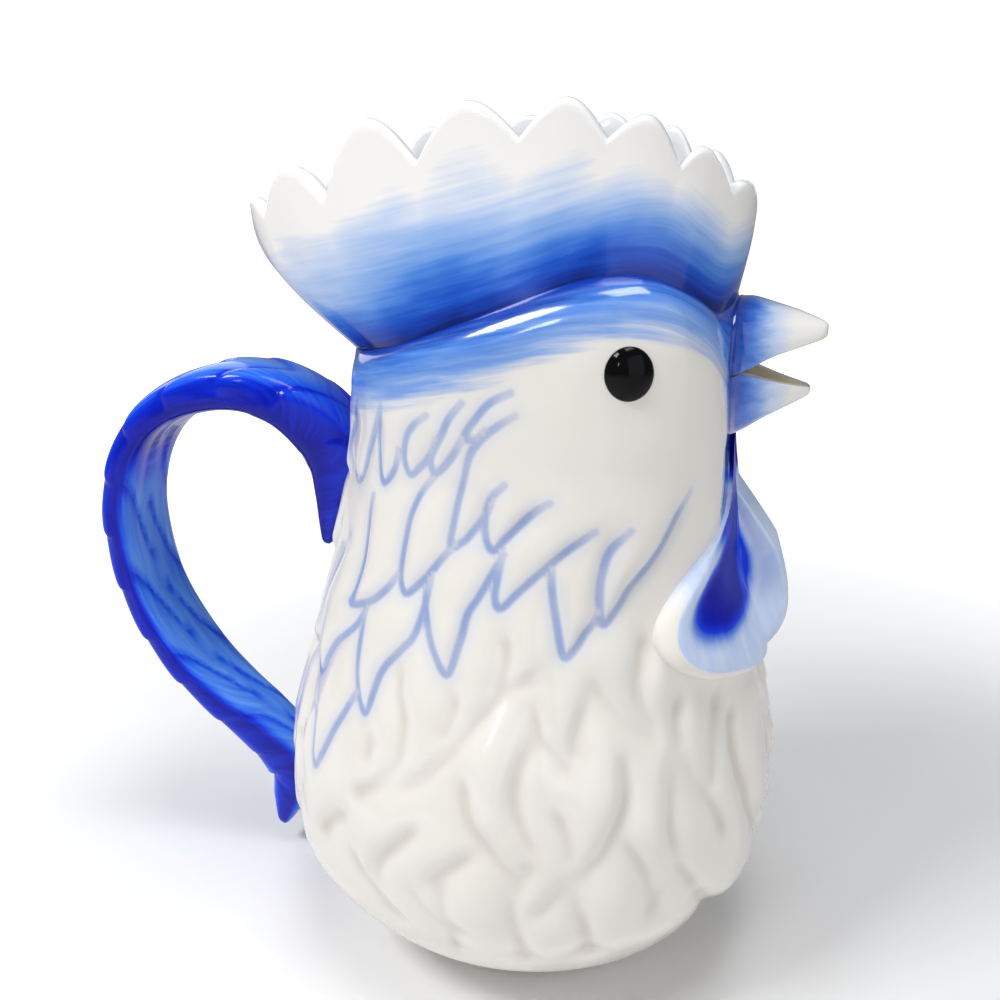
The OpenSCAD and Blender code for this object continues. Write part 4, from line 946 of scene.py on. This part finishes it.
def add_wattle(name, flank, material):
    """A hollowed drop of clay, as in the part, with the glaze's places on it."""
    a = 2 * np.pi * np.arange(WATTLE_SIDES) / WATTLE_SIDES
    widest = math.atan(math.sqrt(1 + TEAR_POWER))
    peak = math.sin(2 * widest) * math.sin(widest) ** TEAR_POWER
    across, upward = np.sin(a) * np.abs(np.sin(a / 2)) ** TEAR_POWER / peak, np.cos(a)
    top_z = MOUTH_Z - LOWER_H
    mid_z, low_z = top_z - WATTLE_H / 2, top_z - WATTLE_H
    lean = math.cos(math.radians(WATTLE_TURN - WATTLE_SEAT))
    to_top, to_low = (lean * (wattle_seat(z) - wattle_seat(mid_z)) for z in (top_z, low_z))
    top_shift = (WATTLE_W / 13, to_top - WATTLE_T)
    low_shift = (WATTLE_W / 12, to_low - WATTLE_T / 9)
    seat_c, seat_s = turned(WATTLE_SEAT)
    seat_r = wattle_seat(mid_z) - WATTLE_T / 11
    c, s = turned(WATTLE_TURN)
    wide = np.where(across < 0, WATTLE_SPREAD, 1.0)
    sections, levels, brush = [], [], []
    for ring in finer(WATTLE_RINGS, WATTLE_STEPS):
        b = upward * np.where(upward > 0, lerp(1, ring[0], 0.5), ring[0])
        k = np.where(b > 0, np.abs(b) ** LEAN_POWER, b * b)
        thick = ((ring[1] - 0.5) * WATTLE_T - ring[2] * WATTLE_DISH) * (1 - np.maximum(0, b) / 2)
        u = ring[0] * across * wide * WATTLE_W / 2 + k * np.where(b > 0, top_shift[0], low_shift[0])
        out = thick + k * np.where(b > 0, top_shift[1], low_shift[1])
        x = seat_r * seat_c + u * s + out * c
        y = np.maximum(WATTLE_GAP / 2, seat_r * seat_s - u * c + out * s)
        z = mid_z + b * WATTLE_H / 2
        # Its back lies in the wall, and its front keeps a thickness of clay over the skin
        turn = np.degrees(np.arctan2(y, x))
        skin = wall_r(turn, z) + relief(turn, z)
        kept = 1 + (ring[3] - 1) * (1 - rise(b, -0.1, 0.4)) if ring[3] > 1 else ring[3]
        kept = lerp(-WALL / 2, kept * WATTLE_FLOOR, float(smooth(ring[3])))
        grow = np.maximum(1, (skin + kept) / np.hypot(x, y))
        sections.append(np.stack([grow * x, flank * grow * y, z], -1))
        levels.append(wattle_level(ring, across, b))
        brush.append(np.stack([u, b * WATTLE_H / 2, np.full(WATTLE_SIDES, ring[0])], -1))
    points, faces = loft(sections)
    values = {"level": np.concatenate(levels + [[0.1, 1.0]]),
              "brush": np.concatenate(brush + [np.zeros((2, 3))])}
    make_piece(name, points, faces, material, [name], values, crisp=80)


def wattle_level(ring, across, b):
    """Place of the glaze on a ring: 0 in the deep groove, 0.3 on its front lobe, 1 at the rim."""
    front = ring[0] if ring[1] > 0.9 else 1 + (0.94 - ring[1]) / 2
    down = np.clip(-b / max(ring[0], 0.01), 0, 1) ** 2
    lean = np.where(across > 0, 0.07, 0.2) * across + 0.03 * down
    edge = rise(front + lean, 0.36, 0.66)
    cream = rise(front, 0.92, 1.08) * rise(-across, 0.1, 0.45) * (1 - rise(b, -0.4, 0.1))
    lobe = 0.3 * rise(across * ring[0], -0.02, 0.1) * (1 - rise(b, 0.3, 0.42)) * (1 - edge)
    # Cobalt fills the narrow stem above the hollow
    stem = rise(b, 0.1, 0.45) * (1 - rise(across, -0.2, 0.3)) * (1 - rise(front, 0.8, 1))
    stem = np.maximum(stem, rise(b, 0.6, 0.75))
    # A pale streak down the fold is a painted highlight
    u = ring[0] * across * WATTLE_W / 2 - HIGHLIGHT_AT[0]
    v = b * WATTLE_H / 2 - HIGHLIGHT_AT[1]
    t = np.clip((u * HIGHLIGHT_RUN[0] + v * HIGHLIGHT_RUN[1]) / np.dot(HIGHLIGHT_RUN, HIGHLIGHT_RUN), 0, 1)
    gap = np.hypot(u - HIGHLIGHT_RUN[0] * t, v - HIGHLIGHT_RUN[1] * t)
    painted_highlight = 0.5 * np.exp(-(gap / HIGHLIGHT_HALF) ** 2) * (0.4 + 0.6 * t)
    return np.maximum.reduce([0.72 * edge + 0.28 * cream, lobe, painted_highlight]) * (1 - 0.92 * stem)


def add_eye(name, flank, material):
    """A slightly oval dome of glaze on the cheek."""
    turn = np.array([EYE_TURN - 1, EYE_TURN, EYE_TURN + 1])
    height = np.full(3, float(crease_h(np.array(EYE_TURN))) - PLUME_H / 5)
    p = ring_pt(wall_r(turn, height) + relief(turn, height), turn, height)
    tangent = (p[2] - p[0]) / np.linalg.norm(p[2] - p[0])
    normal, up = np.array([tangent[1], -tangent[0], 0]), np.array([0, 0, 1])
    ball = (EYE_D ** 2 / 4 + EYE_RISE ** 2) / (2 * EYE_RISE)
    spread = math.asin(EYE_D / 2 / ball)
    a = 2 * np.pi * np.arange(EYE_SIDES) / EYE_SIDES
    wide, high = np.cos(a)[:, None] * tangent, np.sin(a)[:, None] * up
    sections = []
    rows = [(-EYE_RISE / 2, spread)] + [(0, spread * (1 - k / EYE_ROWS)) for k in range(EYE_ROWS)]
    for depth, q in rows:
        out = ball * math.cos(q) + EYE_RISE - ball + depth
        ring = ball * math.sin(q) * (wide / EYE_OVAL + high * EYE_OVAL)
        sections.append(p[1] + out * normal + ring)
    sections.append(p[1] + EYE_RISE * normal + 0.02 * (wide + high))
    points, faces = loft(sections)
    points[:, 1] *= flank
    make_piece(name, points, faces, material, [name], {}, crisp=80)


def handle_line(steps):
    """Place, height, thickness and width of the plume along its centre line."""
    low, high = (float(wall_r(np.array(180.0), np.array(z))) for z in (HANDLE_LOW_Z, HANDLE_TOP_Z))
    rows = [[-lerp(low, high, s[2]) - s[0] * HANDLE_REACH - s[1] * HANDLE_T,
             lerp(HANDLE_LOW_Z, HANDLE_TOP_Z, s[2]), s[3] * HANDLE_T, s[4] * HANDLE_W]
            for s in HANDLE_ROWS]
    return np.array(finer(rows, steps))


def handle_leaf(travel, out, side):
    """How far along its leaf each point of a ring is, and how much the leaf lifts there."""
    swing = 1.1 * side + 0.25 * np.sin(3 * side)
    pointed = np.abs(side) ** 1.3
    phase = np.where(out > 0, travel / LEAF_RUN - swing, travel / LEAF_PITCH - pointed)
    share = phase - np.floor(phase)
    return share, smooth(share / 0.85) * (1 - rise(share, 0.9, 1))


def add_handle(material):
    """The curled plume: its edges step at each leaf, and the leaves point down its run."""
    line = handle_line(HANDLE_STEPS)
    count = len(line) - 1
    w = 2 * np.pi * (np.arange(HANDLE_SIDES) + 0.5) / HANDLE_SIDES
    out, side = (signed_power(v, 2 / HANDLE_POWER) for v in (np.cos(w), np.sin(w)))
    travel = np.concatenate([[0], np.cumsum(np.hypot(*np.diff(line[:, :2], axis=0).T))])
    back = travel[np.argmin(line[:, 0])]
    inner_face, outer_face = rise(out, 0.25, 0.85), rise(-out, 0.25, 0.85)
    sections, levels, brush = [], [], []
    for k in range(count + 1):
        a, b, p = line[max(0, k - 1)], line[min(count, k + 1)], line[k]
        d = (b[:2] - a[:2]) / np.linalg.norm(b[:2] - a[:2])
        # The ends round off, and the carving shrinks where the plume is narrow
        tip = math.sqrt(max(0.0, 1 - max(0.0, 1 - min(k, count - k) / HANDLE_TIP) ** 2))
        size = min(1.0, p[3] / HANDLE_W)
        share, lift = handle_leaf(travel[k], out, side)
        cut = HANDLE_SKIN + LEAF_CUT * size * (1 - lift) * np.abs(out) ** 3
        hollow = LEAF_HOLLOW * size * inner_face * np.clip(1 - side ** 2, 0, 1)
        cu = out * (tip * p[2] / 2 - cut) - hollow
        cv = side * (tip * p[3] / 2 + LEAF_STEP * size * (lift - 0.65) * smooth(0.5 - out))
        sections.append(np.stack([p[0] - d[1] * cu, cv, p[1] + d[0] * cu], -1))
        # Light on the inner run below the bend and along the outer leaves, dark in the seams
        run = float(rise(travel[k] - back, *INNER_ZONE))
        hook = float(rise(travel[k], *OUTER_ZONE))
        outer_tone = 0.22 + 0.25 * (1 - np.abs(side)) + 0.1 * share
        seam = np.exp(-((share - 0.03) / 0.1) ** 2) + np.exp(-((share - 0.98) / 0.08) ** 2)
        levels.append(0.16 + 0.14 * smooth(0.6 - out) + outer_face * hook * outer_tone
                      + inner_face * run * (0.5 + 0.16 * share)
                      - 0.2 * np.clip(seam, 0, 1) * np.maximum(inner_face * run, outer_face))
        brush.append(np.stack([np.full(HANDLE_SIDES, travel[k]), w * p[3] / 2, 0 * w], -1))
    points, faces = loft(sections)
    values = {"level": np.concatenate(levels + [[0.1, 0.2]]),
              "brush": np.concatenate(brush + [np.zeros((2, 3))])}
    make_piece("handle", points, faces, material, ["handle"], values, crisp=80)


# ---- stage, light
def add_camera():
    camera = bpy.data.objects.new("camera", bpy.data.cameras.new("camera"))
    camera.data.lens, camera.data.sensor_width = LENS, SENSOR
    camera.data.clip_start = 0.01
    camera.location = [v * MM for v in CAMERA_AT]
    camera.rotation_euler = [math.radians(v) for v in CAMERA_TURN]
    bpy.context.scene.collection.objects.link(camera)
    bpy.context.scene.camera = camera


def add_floor():
    """Pale floor that runs out into the white background."""
    side = 6.0
    corners = [(-side, -side, 0), (side, -side, 0), (side, side, 0), (-side, side, 0)]
    mesh = bpy.data.meshes.new("floor")
    mesh.from_pydata(corners, [], [(0, 1, 2, 3)])
    floor = bpy.data.objects.new("floor", mesh)
    bpy.context.scene.collection.objects.link(floor)
    g = Glaze("pale_studio_floor", 0.6, 0.0)
    g.join("#f4f4f4", g.shader.inputs["Base Color"])
    g.join((1, 1, 1, 1), g.shader.inputs["Emission Color"])
    # Far from the object, and for the camera alone, the floor is white
    reach = g.add("ShaderNodeVectorMath", {0: g.place()}, operation="LENGTH").outputs["Value"]
    seen = g.add("ShaderNodeLightPath").outputs["Is Camera Ray"]
    g.join(g.math("MULTIPLY", g.span(reach, 0.1, 0.7), seen), g.shader.inputs["Emission Strength"])
    mesh.materials.append(g.material)


def add_light(name, place, size, watts):
    """Soft lamp that looks at the middle of the pitcher."""
    lamp = bpy.data.lights.new(name, "AREA")
    lamp.shape, lamp.size, lamp.size_y, lamp.energy = "RECTANGLE", size[0], size[1], watts
    light = bpy.data.objects.new(name, lamp)
    light.location = place
    light.rotation_euler = (Vector(MIDDLE) - Vector(place)).to_track_quat("-Z", "Y").to_euler()
    bpy.context.scene.collection.objects.link(light)


def add_world():
    """Soft light from all round, and plain white where the camera looks past the object."""
    world = bpy.data.worlds.new("studio")
    bpy.context.scene.world = world
    world.use_nodes = True
    tree = world.node_tree
    shown, soft = tree.nodes["Background"], tree.nodes.new("ShaderNodeBackground")
    for node, colour, strength in ((shown, (1, 1, 1, 1), 1.0), (soft, (0.9, 0.93, 1, 1), 0.22)):
        node.inputs["Color"].default_value = colour
        node.inputs["Strength"].default_value = strength
    path = tree.nodes.new("ShaderNodeLightPath")
    choose = tree.nodes.new("ShaderNodeMixShader")
    tree.links.new(path.outputs["Is Camera Ray"], choose.inputs[0])
    tree.links.new(soft.outputs[0], choose.inputs[1])
    tree.links.new(shown.outputs[0], choose.inputs[2])
    tree.links.new(choose.outputs[0], tree.nodes["World Output"].inputs["Surface"])


add_camera()
add_floor()
add_world()
for lamp_settings in LAMPS:
    add_light(*lamp_settings)
bpy.context.scene.view_settings.view_transform = "Standard"

add_body(body_glaze())
add_crown(crown_glaze())
blue_beak = beak_glaze()
add_upper_beak(blue_beak)
add_lower_beak(blue_beak)
pooled = wattle_glaze()
add_wattle("wattle_right", -1, pooled)
add_wattle("wattle_left", 1, pooled)
black = eye_glaze()
add_eye("eye_right", -1, black)
add_eye("eye_left", 1, black)
add_handle(handle_glaze())
clay = bare_clay()
for material_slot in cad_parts["foot"].material_slots:
    material_slot.material = clay
